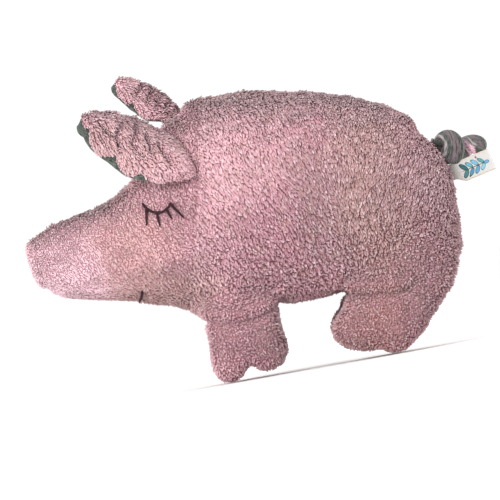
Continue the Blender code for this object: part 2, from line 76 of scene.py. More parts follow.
class Net:
    def __init__(self, tree):
        self.tree = tree

    def add(self, kind, settings=None, inputs=None, output=0):
        node = self.tree.nodes.new(kind)
        for name, value in (settings or {}).items():
            setattr(node, name, value)
        for place, value in (inputs or {}).items():
            for one in value if isinstance(value, list) else [value]:
                if isinstance(one, Wire):
                    self.tree.links.new(one.socket, node.inputs[place])
                else:
                    node.inputs[place].default_value = one
        return Wire(self, node.outputs[output]) if node.outputs else None

    def beside(self, wire, output):  # another output of the same node
        return Wire(self, wire.socket.node.outputs[output])

    def maths(self, operation, *values):
        return self.add("ShaderNodeMath", {"operation": operation}, dict(enumerate(values)))

    def vector(self, operation, *values, output=0):
        return self.add("ShaderNodeVectorMath", {"operation": operation}, dict(enumerate(values)), output)

    def scaled(self, vector, factor):
        return self.add("ShaderNodeVectorMath", {"operation": "SCALE"}, {0: vector, "Scale": factor})

    def mixed(self, share, first, second, blend="MIX"):
        settings = {"data_type": "RGBA", "blend_type": blend}
        return self.add("ShaderNodeMix", settings, {0: share, 6: first, 7: second}, 2)

    def ease(self, value, start, end):  # 0 at start to 1 at end
        inputs = {"Value": value, "From Min": start, "From Max": end}
        return self.add("ShaderNodeMapRange", {"interpolation_type": "SMOOTHSTEP"}, inputs)

    def noise(self, vector, scale, detail):
        return self.add("ShaderNodeTexNoise", {}, {"Vector": vector, "Scale": scale, "Detail": detail})

    def objectPlace(self):
        return self.add("ShaderNodeTexCoord", {}, {}, "Object")

    def attribute(self, name):
        return self.add("ShaderNodeAttribute", {"attribute_name": name}, {}, "Fac")

    def named(self, kind, name):
        return self.add("GeometryNodeInputNamedAttribute", {"data_type": kind}, {"Name": name})


def tint(red, green, blue):
    parts = [c / 255 for c in (red, green, blue)]
    return tuple(c / 12.92 if c <= 0.04045 else ((c + 0.055) / 1.055) ** 2.4 for c in parts) + (1.0,)


def newFinish(name, roughness, specular, sheen=0.0):
    material = bpy.data.materials.new(name)
    material.use_nodes = True
    shader = material.node_tree.nodes["Principled BSDF"]
    shader.inputs["Roughness"].default_value = roughness
    shader.inputs["Specular IOR Level"].default_value = specular
    shader.inputs["Sheen Weight"].default_value = sheen
    shader.inputs["Sheen Roughness"].default_value = 0.6
    return material, Net(material.node_tree), shader


def feed(net, shader, socket, wire):
    net.tree.links.new(wire.socket, shader.inputs[socket])


def raised(net, shader, strength, distance, height):
    bump = net.add("ShaderNodeBump", {}, {"Strength": strength, "Distance": distance, "Height": height})
    feed(net, shader, "Normal", bump)


def newTree(name, sizes, numbers=()):  # a Geometry Nodes tree with its inputs
    tree = bpy.data.node_groups.new(name, "GeometryNodeTree")
    sockets = [("Geometry", "Geometry")]
    sockets += [(size, "Float") for size in sizes] + [(number, "Int") for number in numbers]
    for socket, kind in sockets:
        tree.interface.new_socket(name=socket, in_out="INPUT", socket_type=f"NodeSocket{kind}")
    tree.interface.new_socket(name="Geometry", in_out="OUTPUT", socket_type="NodeSocketGeometry")
    net = Net(tree)
    given = net.add("NodeGroupInput")
    return net, {socket: net.beside(given, socket) for socket, _ in sockets}


def closeTree(net, geometry, material):
    real = net.add("GeometryNodeRealizeInstances", {}, {"Geometry": geometry})
    dressed = net.add("GeometryNodeSetMaterial", {}, {"Geometry": real, "Material": material})
    net.add("NodeGroupOutput", {}, {"Geometry": dressed})
    return net.tree


def newMesh(name, corners, edges, faces, smooth=True):
    mesh = bpy.data.meshes.new(name)
    mesh.from_pydata(corners, edges, faces)
    if smooth:
        mesh.shade_smooth()
    return mesh


def newObject(name, mesh):
    item = bpy.data.objects.new(name, mesh)
    bpy.context.scene.collection.objects.link(item)
    return item


def settled(item):  # modifiers worked into a plain mesh
    bpy.context.view_layer.update()
    mesh = bpy.data.meshes.new_from_object(item.evaluated_get(bpy.context.evaluated_depsgraph_get()))
    old = item.data
    item.modifiers.clear()
    item.data = mesh
    mesh.name = item.name
    bpy.data.meshes.remove(old)
    return mesh


def grown(item, tree, values):  # the tree's result as a plain mesh
    modifier = item.modifiers.new("grow", "NODES")
    modifier.node_group = tree
    for socket in tree.interface.items_tree:
        if socket.in_out == "INPUT" and socket.name in values:
            modifier[socket.identifier] = values[socket.name]
    return settled(item)


def facedOut(mesh):
    shape = bmesh.new()
    shape.from_mesh(mesh)
    bmesh.ops.recalc_face_normals(shape, faces=shape.faces)
    shape.to_mesh(mesh)
    shape.free()
    mesh.shade_smooth()
    return mesh


def readOut(items, what, parts=1, kind=np.float32):
    flat = np.empty(len(items) * parts, kind)
    items.foreach_get(what, flat)
    return flat


def placesOf(mesh):
    return readOut(mesh.vertices, "co", 3).reshape(-1, 3).astype(float)


def normalsOf(mesh):
    return readOut(mesh.vertex_normals, "vector", 3).reshape(-1, 3).astype(float)


def moveTo(mesh, places):
    mesh.vertices.foreach_set("co", places.astype(np.float32).ravel())
    mesh.update()


def giveValues(mesh, name, values):  # a number or a vector for each point
    flat = np.ascontiguousarray(values, np.float32)
    layer = mesh.attributes.new(name, "FLOAT" if flat.ndim == 1 else "FLOAT_VECTOR", "POINT")
    layer.data.foreach_set("value" if flat.ndim == 1 else "vector", flat.ravel())


def giveMap(mesh, name, places):  # places in the map, one for each corner of the faces
    layer = mesh.uv_layers.new(name=name)
    layer.data.foreach_set("uv", places.astype(np.float32).ravel())


def cornersOf(mesh):
    return readOut(mesh.loops, "vertex_index", kind=np.int32)


def ringFaces(rings, sides):
    return [
        (r * sides + k, r * sides + (k + 1) % sides, (r + 1) * sides + (k + 1) % sides, (r + 1) * sides + k)
        for r in range(rings - 1) for k in range(sides)
    ]


def between(first, second, share):
    return first + (second - first) * share


def fromTable(value, table):  # a table of places and amounts, with straight runs between them
    return float(np.interp(value, *zip(*table)))


def stepped(value, start, end):
    t = np.clip((value - start) / (end - start), 0, 1)
    return t * t * (3 - 2 * t)


def bumpy(places, size, seed):  # smooth noise from -1 to 1
    shift = Vector((seed * 3.7, seed * 1.9, seed * 5.3))
    return np.array([noise.noise(Vector(place) / size + shift) for place in places])


# The one soft form under all the pile covers

form = {
    "voxel": 0.0022,
    "softening": 10,
    "pileDepth": 0.0021,  # the knitted backing lies this far under the pile's tips
    "snoutPileDepth": 0.0012,
    "snout": (-0.165, -0.095),  # from the snout's own form to the head's
    "floorGap": 0.0008,
    "lumps": ((0.036, 0.0014, 1), (0.012, 0.0010, 2)),  # size, height, seed
    "backing": 0.0012,
    "legCrease": (0.0005, 0.0030),  # depth, width
    "foldCrease": (0.0044, 0.0034),
    "foldSag": (0.0034, 0.0075, 0.0058),  # how far the body sags over the leg, how high up, how wide
    "foldReach": 0.030,
    "foldEnd": 0.004,  # this far past a fold's end the body is smooth again
    "foldsShow": (0.012, 0.024),  # from and to this far out of the middle
    "folds": (  # where the body sags over a front leg and over a rear leg, along and up
        ((-0.064, 0.056), (-0.0586, 0.0524), (-0.047, 0.0491), (-0.0328, 0.0478),
         (-0.0161, 0.0498), (-0.0032, 0.0536), (0.004, 0.060)),
        ((0.050, 0.058), (0.0583, 0.0537), (0.072, 0.0510), (0.0904, 0.0496), (0.104, 0.0500)),
    ),
    "seamCrease": (0.0007, 0.0026),
    "earCrease": (0.0026, 0.0050),
    "fuller": (  # along, up, how wide, how much it stands out there
        (-0.0650, 0.0565, 0.012, 0.0060),
        (-0.0600, 0.0180, 0.014, 0.0034),
        (-0.0610, 0.0090, 0.008, 0.0020),
        (-0.0315, 0.0090, 0.007, -0.0025),
        (0.0020, 0.0400, 0.011, -0.0036),
        (-0.0010, 0.0500, 0.008, -0.0020),
        (0.0430, 0.0110, 0.011, -0.0042),
        (0.0490, 0.0470, 0.010, -0.0020),
        (0.1260, 0.0240, 0.020, -0.0012),
        (-0.0350, 0.2300, 0.009, 0.0016),
        (0.0300, 0.2300, 0.035, -0.0012),
        (-0.0470, 0.2270, 0.008, 0.0030),
        (-0.0640, 0.2100, 0.010, 0.0055),
        (0.1400, 0.1730, 0.010, -0.0018),
        (0.1320, 0.1850, 0.007, 0.0020),
        (0.1590, 0.1020, 0.026, -0.0028),
        (0.1510, 0.0730, 0.009, 0.0034),
        (-0.1900, 0.1430, 0.010, -0.0020),
        (-0.1930, 0.1340, 0.010, 0.0014),
        (-0.1800, 0.0970, 0.014, 0.0008),
        (-0.1170, 0.1650, 0.020, -0.0014),
        (0.1080, 0.2250, 0.012, 0.0016),
        (-0.0180, 0.2330, 0.010, -0.0014),
    ),
    "earRoots": (  # rear end, middle and front end of each ear's seam
        ((-0.0601, -0.0345, 0.2017), (-0.0528, -0.0500, 0.1824), (-0.0457, -0.0561, 0.1632)),
        ((-0.0601, 0.0345, 0.2017), (-0.0528, 0.0500, 0.1824), (-0.0457, 0.0561, 0.1632)),
    ),
}

coverPanels = {
    "headCoverLeft": ("head_cover_left", "head_filling"),
    "headCoverRight": ("head_cover_right",),
    "bodyCoverLeft": ("body_cover_left", "body_filling"),
    "bodyCoverRight": ("body_cover_right",),
    "bellyPanel": ("belly_panel",),
    "snoutDisc": ("snout_disc",),
    "frontLeftLeg": ("front_left_leg_cover", "front_left_leg_filling"),
    "frontRightLeg": ("front_right_leg_cover", "front_right_leg_filling"),
    "rearLeftLeg": ("rear_left_leg_cover", "rear_left_leg_filling"),
    "rearRightLeg": ("rear_right_leg_cover", "rear_right_leg_filling"),
}


def softForm():
    shape = bmesh.new()
    for nodes in coverPanels.values():
        for node in nodes:
            shape.from_mesh(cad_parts[node].data)
    bmesh.ops.remove_doubles(shape, verts=shape.verts, dist=1e-6)
    mesh = bpy.data.meshes.new("softForm")
    shape.to_mesh(mesh)
    shape.free()
    mesh.materials.clear()
    item = newObject("softForm", mesh)
    remesh = item.modifiers.new("skin", "REMESH")
    remesh.mode, remesh.voxel_size = "VOXEL", form["voxel"]
    soften = item.modifiers.new("soften", "SMOOTH")
    soften.factor, soften.iterations = 0.5, form["softening"]
    settled(item)
    return item


def coverSearch():
    corners, faces, owners = [], [], []
    for number, nodes in enumerate(coverPanels.values()):
        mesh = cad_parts[nodes[0]].data
        faces += [[len(corners) + k for k in polygon.vertices] for polygon in mesh.polygons]
        corners += [tuple(v.co) for v in mesh.vertices]
        owners += [number] * len(mesh.polygons)
    return BVHTree.FromPolygons(corners, faces), owners


def nearest(tree, places):
    return np.array([tree.find(Vector(place))[2] for place in places])


def pointsAt(line, run, at):
    return np.stack([np.interp(at, run, line[:, 0]), np.interp(at, run, line[:, 1])], 1)


def foldDistances(places):  # distance to a leg's fold seen from the side, and the height above it
    spread = [np.linspace(0, len(fold) - 1, 60) for fold in form["folds"]]
    points = [pointsAt(np.array(fold), range(len(fold)), at) for fold, at in zip(form["folds"], spread)]
    offset = places[:, None, [0, 2]] - np.concatenate(points)[None]
    best = (offset**2).sum(2).argmin(1)
    chosen = offset[np.arange(len(places)), best]
    distance = np.linalg.norm(chosen, axis=1)
    far = np.where(chosen[:, 1] < 0, -1.0, 1.0)  # past a fold's end, out of the sag's reach
    return distance, np.where(np.abs(chosen[:, 0]) < form["foldEnd"], chosen[:, 1], far)


def treeOf(places):
    tree = KDTree(len(places))
    for number, place in enumerate(places):
        tree.insert(Vector(place), number)
    tree.balance()
    return tree


def arc(points, t):  # a bow through three points
    first, middle, last = (Vector(point) for point in points)
    return first * (2 * (t - 0.5) * (t - 1)) + middle * (4 * t * (1 - t)) + last * (2 * t * (t - 0.5))


def smoothLine(points, count):
    flat = np.array(points, float)
    run = np.r_[0, np.cumsum(np.linalg.norm(np.diff(flat, axis=0), axis=1))]
    return pointsAt(flat, run, np.linspace(0, run[-1], count))


soft = softForm()
print("soft form:", len(soft.data.polygons), "faces")
search, owners = coverSearch()
facePlaces = np.array([tuple(polygon.center) for polygon in soft.data.polygons])
faceCorners = [tuple(polygon.vertices) for polygon in soft.data.polygons]
faceOwner = np.array([owners[search.find_nearest(Vector(place))[2]] for place in facePlaces])
legNumbers = {number for number, name in enumerate(coverPanels) if name.endswith("Leg")}


def borderDistances(places):  # distance of each point to a leg's top crease and to a panel seam
    touching = {}
    for owner, corners in zip(faceOwner, faceCorners):
        for corner in corners:
            touching.setdefault(corner, set()).add(owner)
    legs = [k for k, seen in touching.items() if len(seen) > 1 and seen & legNumbers]
    seams = [k for k, seen in touching.items() if len(seen) > 1 and not seen & legNumbers]
    return nearest(treeOf(places[legs]), places), nearest(treeOf(places[seams]), places)


formPlaces, formNormals = placesOf(soft.data), normalsOf(soft.data)
toLeg, toSeam = borderDistances(formPlaces)
toEar = nearest(treeOf([arc(points, k / 24) for points in form["earRoots"] for k in range(25)]), formPlaces)
snoutShare = 1 - stepped(formPlaces[:, 0], *form["snout"])
drawnIn = between(form["pileDepth"], form["snoutPileDepth"], snoutShare)
toFold, aboveFold = foldDistances(formPlaces)
outer = stepped(np.abs(formPlaces[:, 1]), *form["foldsShow"])
creases = (
    ("legCrease", toLeg, 1), ("seamCrease", toSeam, 1), ("earCrease", toEar, 1),
    ("foldCrease", toFold, outer),
)
for name, distance, share in creases:
    depth, width = form[name]
    drawnIn = drawnIn + depth * np.exp(-((distance / width) ** 2)) * share
sag, high, width = form["foldSag"]
drawnIn = drawnIn - sag * np.exp(-(((aboveFold - high) / width) ** 2)) * outer * (toFold < form["foldReach"])
level = np.sqrt(1 - np.clip(formNormals[:, 1], -1, 1) ** 2)  # 1 on the outline seen from the side
for along, up, reach, amount in form["fuller"]:
    far = (formPlaces[:, 0] - along) ** 2 + (formPlaces[:, 2] - up) ** 2
    drawnIn = drawnIn - amount * np.exp(-far / reach**2) * level
for size, height, seed in form["lumps"]:
    drawnIn = drawnIn - height * bumpy(formPlaces, size, seed) * (1 - 0.6 * snoutShare)
formPlaces = formPlaces - formNormals * drawnIn[:, None]
formPlaces[:, 2] = np.maximum(formPlaces[:, 2], form["floorGap"])
moveTo(soft.data, formPlaces)
formNormals = normalsOf(soft.data)
print("creases and lumps drawn in")


# How the pile lies: combed down and back on the sides, standing on the belly and legs

pile = {
    "spacing": 0.00104,
    "length": 0.0048,
    "thickness": 0.00166,
    "roll": 0.5,
    "gather": 0.58,
    "gatherSize": 0.0034,
    "clumpSlant": (0.42, -0.60),  # how the clumps lean at the shoulder and at the rump
    "clumpLength": 0.42,  # share of the height that a clump high on the body spans
    "clumpsFrom": 0.075,
    "clumpsOverBack": (0.15, 0.20),
    "unrest": 0.28,
    "unrestSize": 0.009,
    "stray": 0.24,
    "combFront": (0.39, -0.92),
    "combRear": (-0.51, -0.86),
    "shoulderToRump": (0.02, 0.15),
    "parting": (0.012, 0.9),  # the pile falls to both sides of the spine: half width, strength
    "lean": (0.22, 1.62),  # standing low on the legs, lying high on the sides
    "leanHeights": (0.070, 0.155),
    "headLean": (1.1, 2.3),  # on the cheeks, at the snout's tip
    "head": (-0.085, -0.035),
    "snout": (-0.175, -0.085),
    "shorter": {"head": 0.24, "snout": 0.10, "belly": 0.18, "leg": 0.12, "sole": 0.6, "eye": 0.62},
    "belly": (0.085, 0.175),
    "leg": (0.03, 0.075),
    "sole": (0.001, 0.006),
    "ridge": (0.3, 0.45, 0.8),  # longer pile on top of the head, by how far it faces up
    "eyeClear": (0.0012, 0.0036),
    "eyeLean": 0.5,
    "floorGap": 0.0002,
    "thick": (0.62, 1.38),  # from the thinnest tuft to the thickest, and from the shortest to the longest
    "long": (0.64, 1.26),
    "thinning": 0.45,  # how much thinner a shorter tuft is
    "atFold": (0.003, 0.4),  # how wide, and how much shorter the pile is there
    "atEar": (0.005, 0.45),
    "quick": {"spacing": 1.6, "thickness": 1.5},
}


def threadDistances(places):
    points = []
    for node in ("left_eye", "right_eye", "left_mouth_stitch", "right_mouth_stitch"):
        points += [tuple(v.co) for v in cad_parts[node].data.vertices]
    return nearest(treeOf(points), places)


def combAndShare(places, normals):  # which way and how flat the pile lies, and its share of the full length
    x, z, less = places[:, 0], places[:, 2], pile["shorter"]
    along = stepped(x, *pile["shoulderToRump"])[:, None]
    run = np.array(pile["combFront"]) * (1 - along) + np.array(pile["combRear"]) * along
    aside = np.tanh(places[:, 1] / pile["parting"][0]) * pile["parting"][1]
    comb = np.stack([run[:, 0], aside, run[:, 1]], 1)
    comb -= normals * (comb * normals).sum(1)[:, None]
    comb /= np.maximum(np.linalg.norm(comb, axis=1), 0.2)[:, None]
    head = 1 - stepped(x, *pile["head"])
    snout = 1 - stepped(x, *pile["snout"])
    bodyLean = between(*pile["lean"], stepped(z, *pile["leanHeights"]))
    lean = between(bodyLean, between(*pile["headLean"], snout), head)
    share = 1 - less["head"] * head - less["snout"] * snout
    share -= less["belly"] * (1 - head) * (1 - stepped(z, *pile["belly"]))
    longer, start, end = pile["ridge"]
    share *= 1 + longer * head * stepped(normals[:, 2], start, end)
    eye = 1 - stepped(threadDistances(places), *pile["eyeClear"])
    leg, sole = (1 - stepped(z, *pile[word]) for word in ("leg", "sole"))
    for word, there in (("leg", leg), ("sole", sole), ("eye", eye)):
        share *= 1 - less[word] * there
    return comb * (lean * (1 + pile["eyeLean"] * eye))[:, None], share


def clumpPlaces(places, share):
    # Places slanted and shortened, so that round cells there are long clumps here
    low = pile["clumpsFrom"]
    slant = between(*pile["clumpSlant"], stepped(places[:, 0], *pile["shoulderToRump"]))
    rise = places[:, 2] - low
    high = low + np.where(rise > 0, rise * share, rise)
    over = 1 - (1 - share) * stepped(places[:, 2], *pile["clumpsOverBack"])
    return np.stack([places[:, 0] + slant * np.maximum(rise, 0), places[:, 1] * over, high], 1)


def tuftShape(name, bend, lift, short=False):
    # A three-sided lock of pile, one unit long and thick, that bends towards +Y
    rings = ((0.0, 0.0, 0.40), (0.50, lift, 0.52), (0.86, 0.3 * lift + 0.7 * bend, 0.38))
    if short:
        rings = ((0.0, 0.0, 0.44), (0.70, 0.5 * bend, 0.50))
    corners = []
    for height, reach, size in rings:
        for k in range(3):
            angle = 2 * math.pi * k / 3 + math.pi / 2
            corners.append((size * math.cos(angle), reach + size * math.sin(angle), height))
    corners.append((0.0, bend, 1.0))
    last = 3 * (len(rings) - 1)
    faces = ringFaces(len(rings), 3) + [(last + k, last + (k + 1) % 3, last + 3) for k in range(3)]
    mesh = newMesh(name, corners, [], faces)
    giveValues(mesh, "alongTuft", [height for _, _, height in corners])
    return newObject(name, mesh)


tuftInputs = {  # the tree's inputs and the pile's settings that go there
    "Spacing": "spacing", "Length": "length", "Thickness": "thickness", "Roll": "roll", "Stray": "stray",
    "Gather": "gather", "Gather Size": "gatherSize", "Unrest": "unrest", "Unrest Size": "unrestSize",
}


def pileTree(name, shapes, material):
    net, size = newTree(name, (*tuftInputs, "Crowding"), ("Seed",))
    inputs = {
        "Mesh": size["Geometry"], "Distance Min": size["Spacing"], "Density Max": size["Crowding"],
        "Density Factor": 1.0, "Seed": size["Seed"],
    }
    kind = "GeometryNodeDistributePointsOnFaces"
    points = net.add(kind, {"distribute_method": "POISSON"}, inputs, "Points")
    normal = net.beside(points, "Normal")
    comb, share = net.named("FLOAT_VECTOR", "comb"), net.named("FLOAT", "pileShare")
    place = net.add("GeometryNodeInputPosition")
    swirl = net.beside(net.noise(place, 1.0 / size["Unrest Size"], 1.0), "Color")
    swirl = net.scaled(net.vector("SUBTRACT", swirl, (0.5, 0.5, 0.5)), size["Unrest"] * 4)
    clump = net.named("FLOAT_VECTOR", "clump")
    inputs = {"Vector": clump, "Scale": 1.0 / size["Gather Size"]}
    centre = net.add("ShaderNodeTexVoronoi", {}, inputs, "Position")
    toCentre = net.scaled(net.vector("SUBTRACT", centre, clump), size["Gather"] / size["Gather Size"])
    inputs = {0: (-1.0, -1.0, -1.0), 1: (1.0, 1.0, 1.0), "Seed": size["Seed"] + 1}
    stray = net.add("FunctionNodeRandomValue", {"data_type": "FLOAT_VECTOR"}, inputs)
    drawn = net.vector("ADD", toCentre, net.scaled(stray, size["Stray"]))
    lie = net.vector("ADD", net.vector("ADD", comb, swirl), drawn)
    upright = net.vector("DOT_PRODUCT", lie, normal, output="Value")
    across = net.vector("SUBTRACT", lie, net.scaled(normal, upright))
    heading = net.vector("NORMALIZE", net.vector("ADD", normal, across))
    turned = net.add("FunctionNodeAlignRotationToVector", {"axis": "Z"}, {"Vector": heading})
    inputs = {"Rotation": turned, "Vector": across}
    turned = net.add("FunctionNodeAlignRotationToVector", {"axis": "Y", "pivot_axis": "Z"}, inputs)

    def chance(low, high, step):
        inputs = {2: low, 3: high, "Seed": size["Seed"] + step}
        return net.add("FunctionNodeRandomValue", {"data_type": "FLOAT"}, inputs, 1)

    roll = net.add("ShaderNodeCombineXYZ", {}, {"Z": chance(-1.0, 1.0, 2) * size["Roll"]})
    inputs = {"Rotation": turned, "Rotate By": roll}
    turned = net.add("FunctionNodeRotateRotation", {"rotation_space": "LOCAL"}, inputs)
    thick = size["Thickness"] * chance(*pile["thick"], 3) * share ** pile["thinning"]
    tall = size["Length"] * chance(*pile["long"], 4) * share
    scale = net.add("ShaderNodeCombineXYZ", {}, {"X": thick, "Y": thick, "Z": tall})
    locks = []
    for shape in shapes:
        lock = net.add("GeometryNodeObjectInfo", {}, {"Object": shape}, "Geometry")
        locks.append(net.add("GeometryNodeGeometryToInstance", {}, {"Geometry": lock}))
    locks = net.add("GeometryNodeJoinGeometry", {}, {"Geometry": locks})
    inputs = {4: 0, 5: len(shapes) - 1, "Seed": size["Seed"] + 5}
    which = net.add("FunctionNodeRandomValue", {"data_type": "INT"}, inputs, 2)
    inputs = {
        "Points": points, "Instance": locks, "Pick Instance": True, "Instance Index": which,
        "Rotation": turned, "Scale": scale,
    }
    tufts = net.add("GeometryNodeInstanceOnPoints", {}, inputs)
    inputs = {"Geometry": tufts, "Name": "tuftTone", "Value": chance(0.0, 1.0, 6)}
    tufts = net.add("GeometryNodeStoreNamedAttribute", {"data_type": "FLOAT", "domain": "INSTANCE"}, inputs)
    inputs = {"Geometry": tufts, "Name": "tuftNumber", "Value": net.add("GeometryNodeInputIndex")}
    tufts = net.add("GeometryNodeStoreNamedAttribute", {"data_type": "INT", "domain": "INSTANCE"}, inputs)
    return closeTree(net, tufts, material)


def tuftCells(mesh):
    # Each tuft has its own cell in the piece's map, root at one side and tip at the other
    corner = cornersOf(mesh)
    tuft = readOut(mesh.attributes["tuftNumber"].data, "value", kind=np.int32)
    along = readOut(mesh.attributes["alongTuft"].data, "value")
    cells = math.ceil(math.sqrt(tuft.max() + 1))
    column, row = tuft[corner] % cells, tuft[corner] // cells
    # The three sides of a tuft share its cell; a corner lies across it by its number in the tuft
    margin = 0.12  # left free on each side of a cell
    across = np.array([margin, 0.5, 1 - margin])[corner % 3]
    up = row + margin + (1 - 2 * margin) * along[corner]
    giveMap(mesh, "OFBake", np.stack([column + across, up], 1) / cells)


def growPile(name, sheet, tree, seed, changes=None):
    item = newObject(name, sheet.copy())
    item.data.materials.clear()
    size = {**pile, **(changes or {})}
    values = {socket: size[word] for socket, word in tuftInputs.items()}
    mesh = grown(item, tree, {**values, "Crowding": 2.0 / size["spacing"] ** 2, "Seed": seed})
    tuftCells(mesh)
    for layer in ("comb", "clump", "pileShare", "tuftNumber"):
        if layer in mesh.attributes:
            mesh.attributes.remove(mesh.attributes[layer])
    places = placesOf(mesh)
    places[:, 2] = np.maximum(places[:, 2], pile["floorGap"])  # pressed on what the toy stands on
    moveTo(mesh, places)
    return item


# Finishes

pileTones = {
    "blush": (240, 194, 202),
    "rose": (202, 146, 157),
    "plum": (184, 129, 144),
    "peach": (236, 188, 182),
    "clay": (202, 148, 142),
    "sand": (181, 143, 136),
    "dusk": (167, 129, 134),
    "deepShade": (118, 94, 98),
    "lilac": (255, 222, 234),
    "root": (150, 92, 108),
}
# Patches of colour: partly the pile's own tones, such as sandy ears and clay rear legs, partly painted light
# and shade, such as the lit shoulder and the darker rear, mid side and backs of the legs
pilePatches = (  # along, up, half length, half height, tone, strength
    (-0.016, 0.176, 0.056, 0.044, "blush", 0.42),
    (0.002, 0.108, 0.055, 0.050, "plum", 0.7),
    (0.055, 0.125, 0.040, 0.064, "dusk", 0.85),
    (-0.098, 0.200, 0.050, 0.034, "sand", 0.4),
    (0.094, 0.125, 0.038, 0.110, "sand", 0.8),
    (0.118, 0.135, 0.040, 0.060, "dusk", 0.6),
    (0.072, 0.030, 0.040, 0.036, "clay", 0.85),
    (0.160, 0.120, 0.034, 0.120, "dusk", 0.9),
    (0.126, 0.045, 0.034, 0.040, "dusk", 0.75),
    (0.040, 0.068, 0.045, 0.026, "dusk", 0.3),
    (-0.112, 0.122, 0.044, 0.040, "peach", 0.55),
    (-0.170, 0.102, 0.044, 0.060, "lilac", 0.80),
    (-0.061, 0.144, 0.026, 0.046, "rose", 0.45),
    (-0.004, 0.026, 0.024, 0.044, "dusk", 0.95),
    (-0.040, 0.022, 0.026, 0.040, "plum", 0.3),
    (-0.095, 0.076, 0.056, 0.030, "sand", 0.8),
)


def pileFinish():
    material, net, shader = newFinish("plushPile", 0.92, 0.12, 0.25)
    tone = {name: tint(*colour) for name, colour in pileTones.items()}
    place = net.objectPlace()
    patches, small = net.noise(place, 26.0, 3.0), net.noise(place, 95.0, 2.0)
    blur = net.scaled(net.vector("SUBTRACT", net.beside(patches, "Color"), (0.5, 0.5, 0.5)), 0.045)
    x = net.add("ShaderNodeSeparateXYZ", {}, {0: net.vector("ADD", place, blur)})
    z = net.beside(x, "Z")
    # The head a lighter pink than the body: partly the pile's own tone, partly painted light from the
    # front-left
    head = 1 - net.ease(x, -0.10, 0.02)
    colour = net.mixed(head, tone["rose"], tone["blush"])
    for along, up, long, high, name, strength in pilePatches:
        far = ((x - along) / long) ** 2.0 + ((z - up) / high) ** 2.0
        colour = net.mixed((1 - net.ease(far, 0.0, 1.3)) * strength, colour, tone[name])
    facing = net.attribute("facingUp")
    layers = (  # painted shade where it faces up, over a dusty grey back, and clouded large and small: by what, from, to, how much, tone
        (facing, 0.30, 0.80, 0.88 - 0.36 * head, "dusk"),
        (facing, 0.70, 1.0, 0.8, "deepShade"),
        (patches, 0.46, 0.68, 0.45, "dusk"),
        (small, 0.50, 0.72, 0.4, "sand"),
    )
    for value, start, end, strength, name in layers:
        colour = net.mixed(net.ease(value, start, end) * strength, colour, tone[name])
    own, along = net.attribute("tuftTone"), net.attribute("alongTuft")
    paleTuft, tipHighlight = (0.98, 0.80, 0.84, 1.0), (1.0, 0.86, 0.88, 1.0)
    darker = net.mixed(0.8, colour, tone["root"], "MULTIPLY")
    colour = net.mixed(net.ease(own, 0.66, 0.97) * 0.42, colour, darker)
    colour = net.mixed((1 - net.ease(own, 0.0, 0.35)) * 0.36, colour, paleTuft)
    # Darker towards each tuft's root: painted shade in the gaps between tufts, over a deeper root tone
    deep = net.mixed(0.9, colour, tone["root"], "MULTIPLY")
    colour = net.mixed(1 - net.ease(along, 0.05, 0.62), colour, deep)
    # Lighter at each tuft's tip: a painted highlight
    colour = net.mixed(net.ease(along, 0.70, 1.0) * 0.22, colour, tipHighlight)
    feed(net, shader, "Base Color", colour)
    return material


def backingFinish():
    material, net, shader = newFinish("pileBacking", 0.95, 0.1)
    knit = net.noise(net.objectPlace(), 700.0, 2.0)
    # Darker than the pile's tips: the knit's own colour, deepened as painted shade for the gaps between
    # tufts
    feed(net, shader, "Base Color", net.mixed(knit, tint(176, 128, 138), tint(206, 160, 168)))
    raised(net, shader, 0.6, 0.0006, knit)
    return material


jersey = {
    "column": 0.0009,  # the knit's stitches, across and along
    "row": 0.0012,
    "fleck": 0.22,  # heather: flecks drawn out along the cloth
    "bow": (0.020, 0.029, 0.037, 0.003),  # the stripes bow aside from, most at and to these, and how far
}


def jerseyFinish(name, dark, light, stripes):
    material, net, shader = newFinish(name, 0.88, 0.15, 0.1)
    cloth = net.add("ShaderNodeUVMap", {"uv_map": "cloth"})  # metres across and along the cloth
    across = net.add("ShaderNodeSeparateXYZ", {}, {0: cloth})
    along = net.beside(across, "Y")
    streak = net.vector("MULTIPLY", cloth, (1.0, jersey["fleck"], 1.0))
    column = net.maths("SINE", across * (2 * math.pi / jersey["column"]))
    row = net.maths("SINE", along * (2 * math.pi / jersey["row"]) + net.maths("ABSOLUTE", column) * 1.5)
    colour = net.mixed(net.ease(net.noise(streak, 1500.0, 3.0), 0.38, 0.64), tint(*dark), tint(*light))
    if stripes:
        start, most, end, aside = jersey["bow"]
        bow = net.ease(along, start, most) * (1 - net.ease(along, most, end))
        place = across + (net.noise(cloth, 160.0, 1.0) - 0.5) * 0.0024 + bow * aside
        worn = 0.2 + 0.9 * net.ease(net.noise(streak, 900.0, 2.0), 0.36, 0.62)
        for middle, width, strength, stripeTone, start, end in stripes:
            inside = 1 - net.ease(net.maths("ABSOLUTE", place - middle), width * 0.3, width)
            within = net.ease(along, start - 0.002, start) * (1 - net.ease(along, end, end + 0.002)) * worn
            colour = net.mixed(inside * within * strength, colour, tint(*stripeTone))
    feed(net, shader, "Base Color", colour)
    raised(net, shader, 0.45, 0.0003, column * 0.5 + row * 0.5)
    return material


plushPile = pileFinish()
pileBacking = backingFinish()
locks = (  # name, bend, lift
    ("lockCurled", 0.60, 0.10), ("lockBent", 0.35, 0.12), ("lockStraight", 0.10, -0.05),
)
tuftShapes = [tuftShape(*lock) for lock in locks]
shortShapes = [tuftShape("shortBent", 0.6, 0, True), tuftShape("shortStraight", 0.2, 0, True)]
pileGrower = pileTree("pile", tuftShapes, plushPile)
shortGrower = pileTree("shortPile", shortShapes, plushPile)
print("finishes mixed")


# Covers: a knitted backing panel and its pile, panel by panel

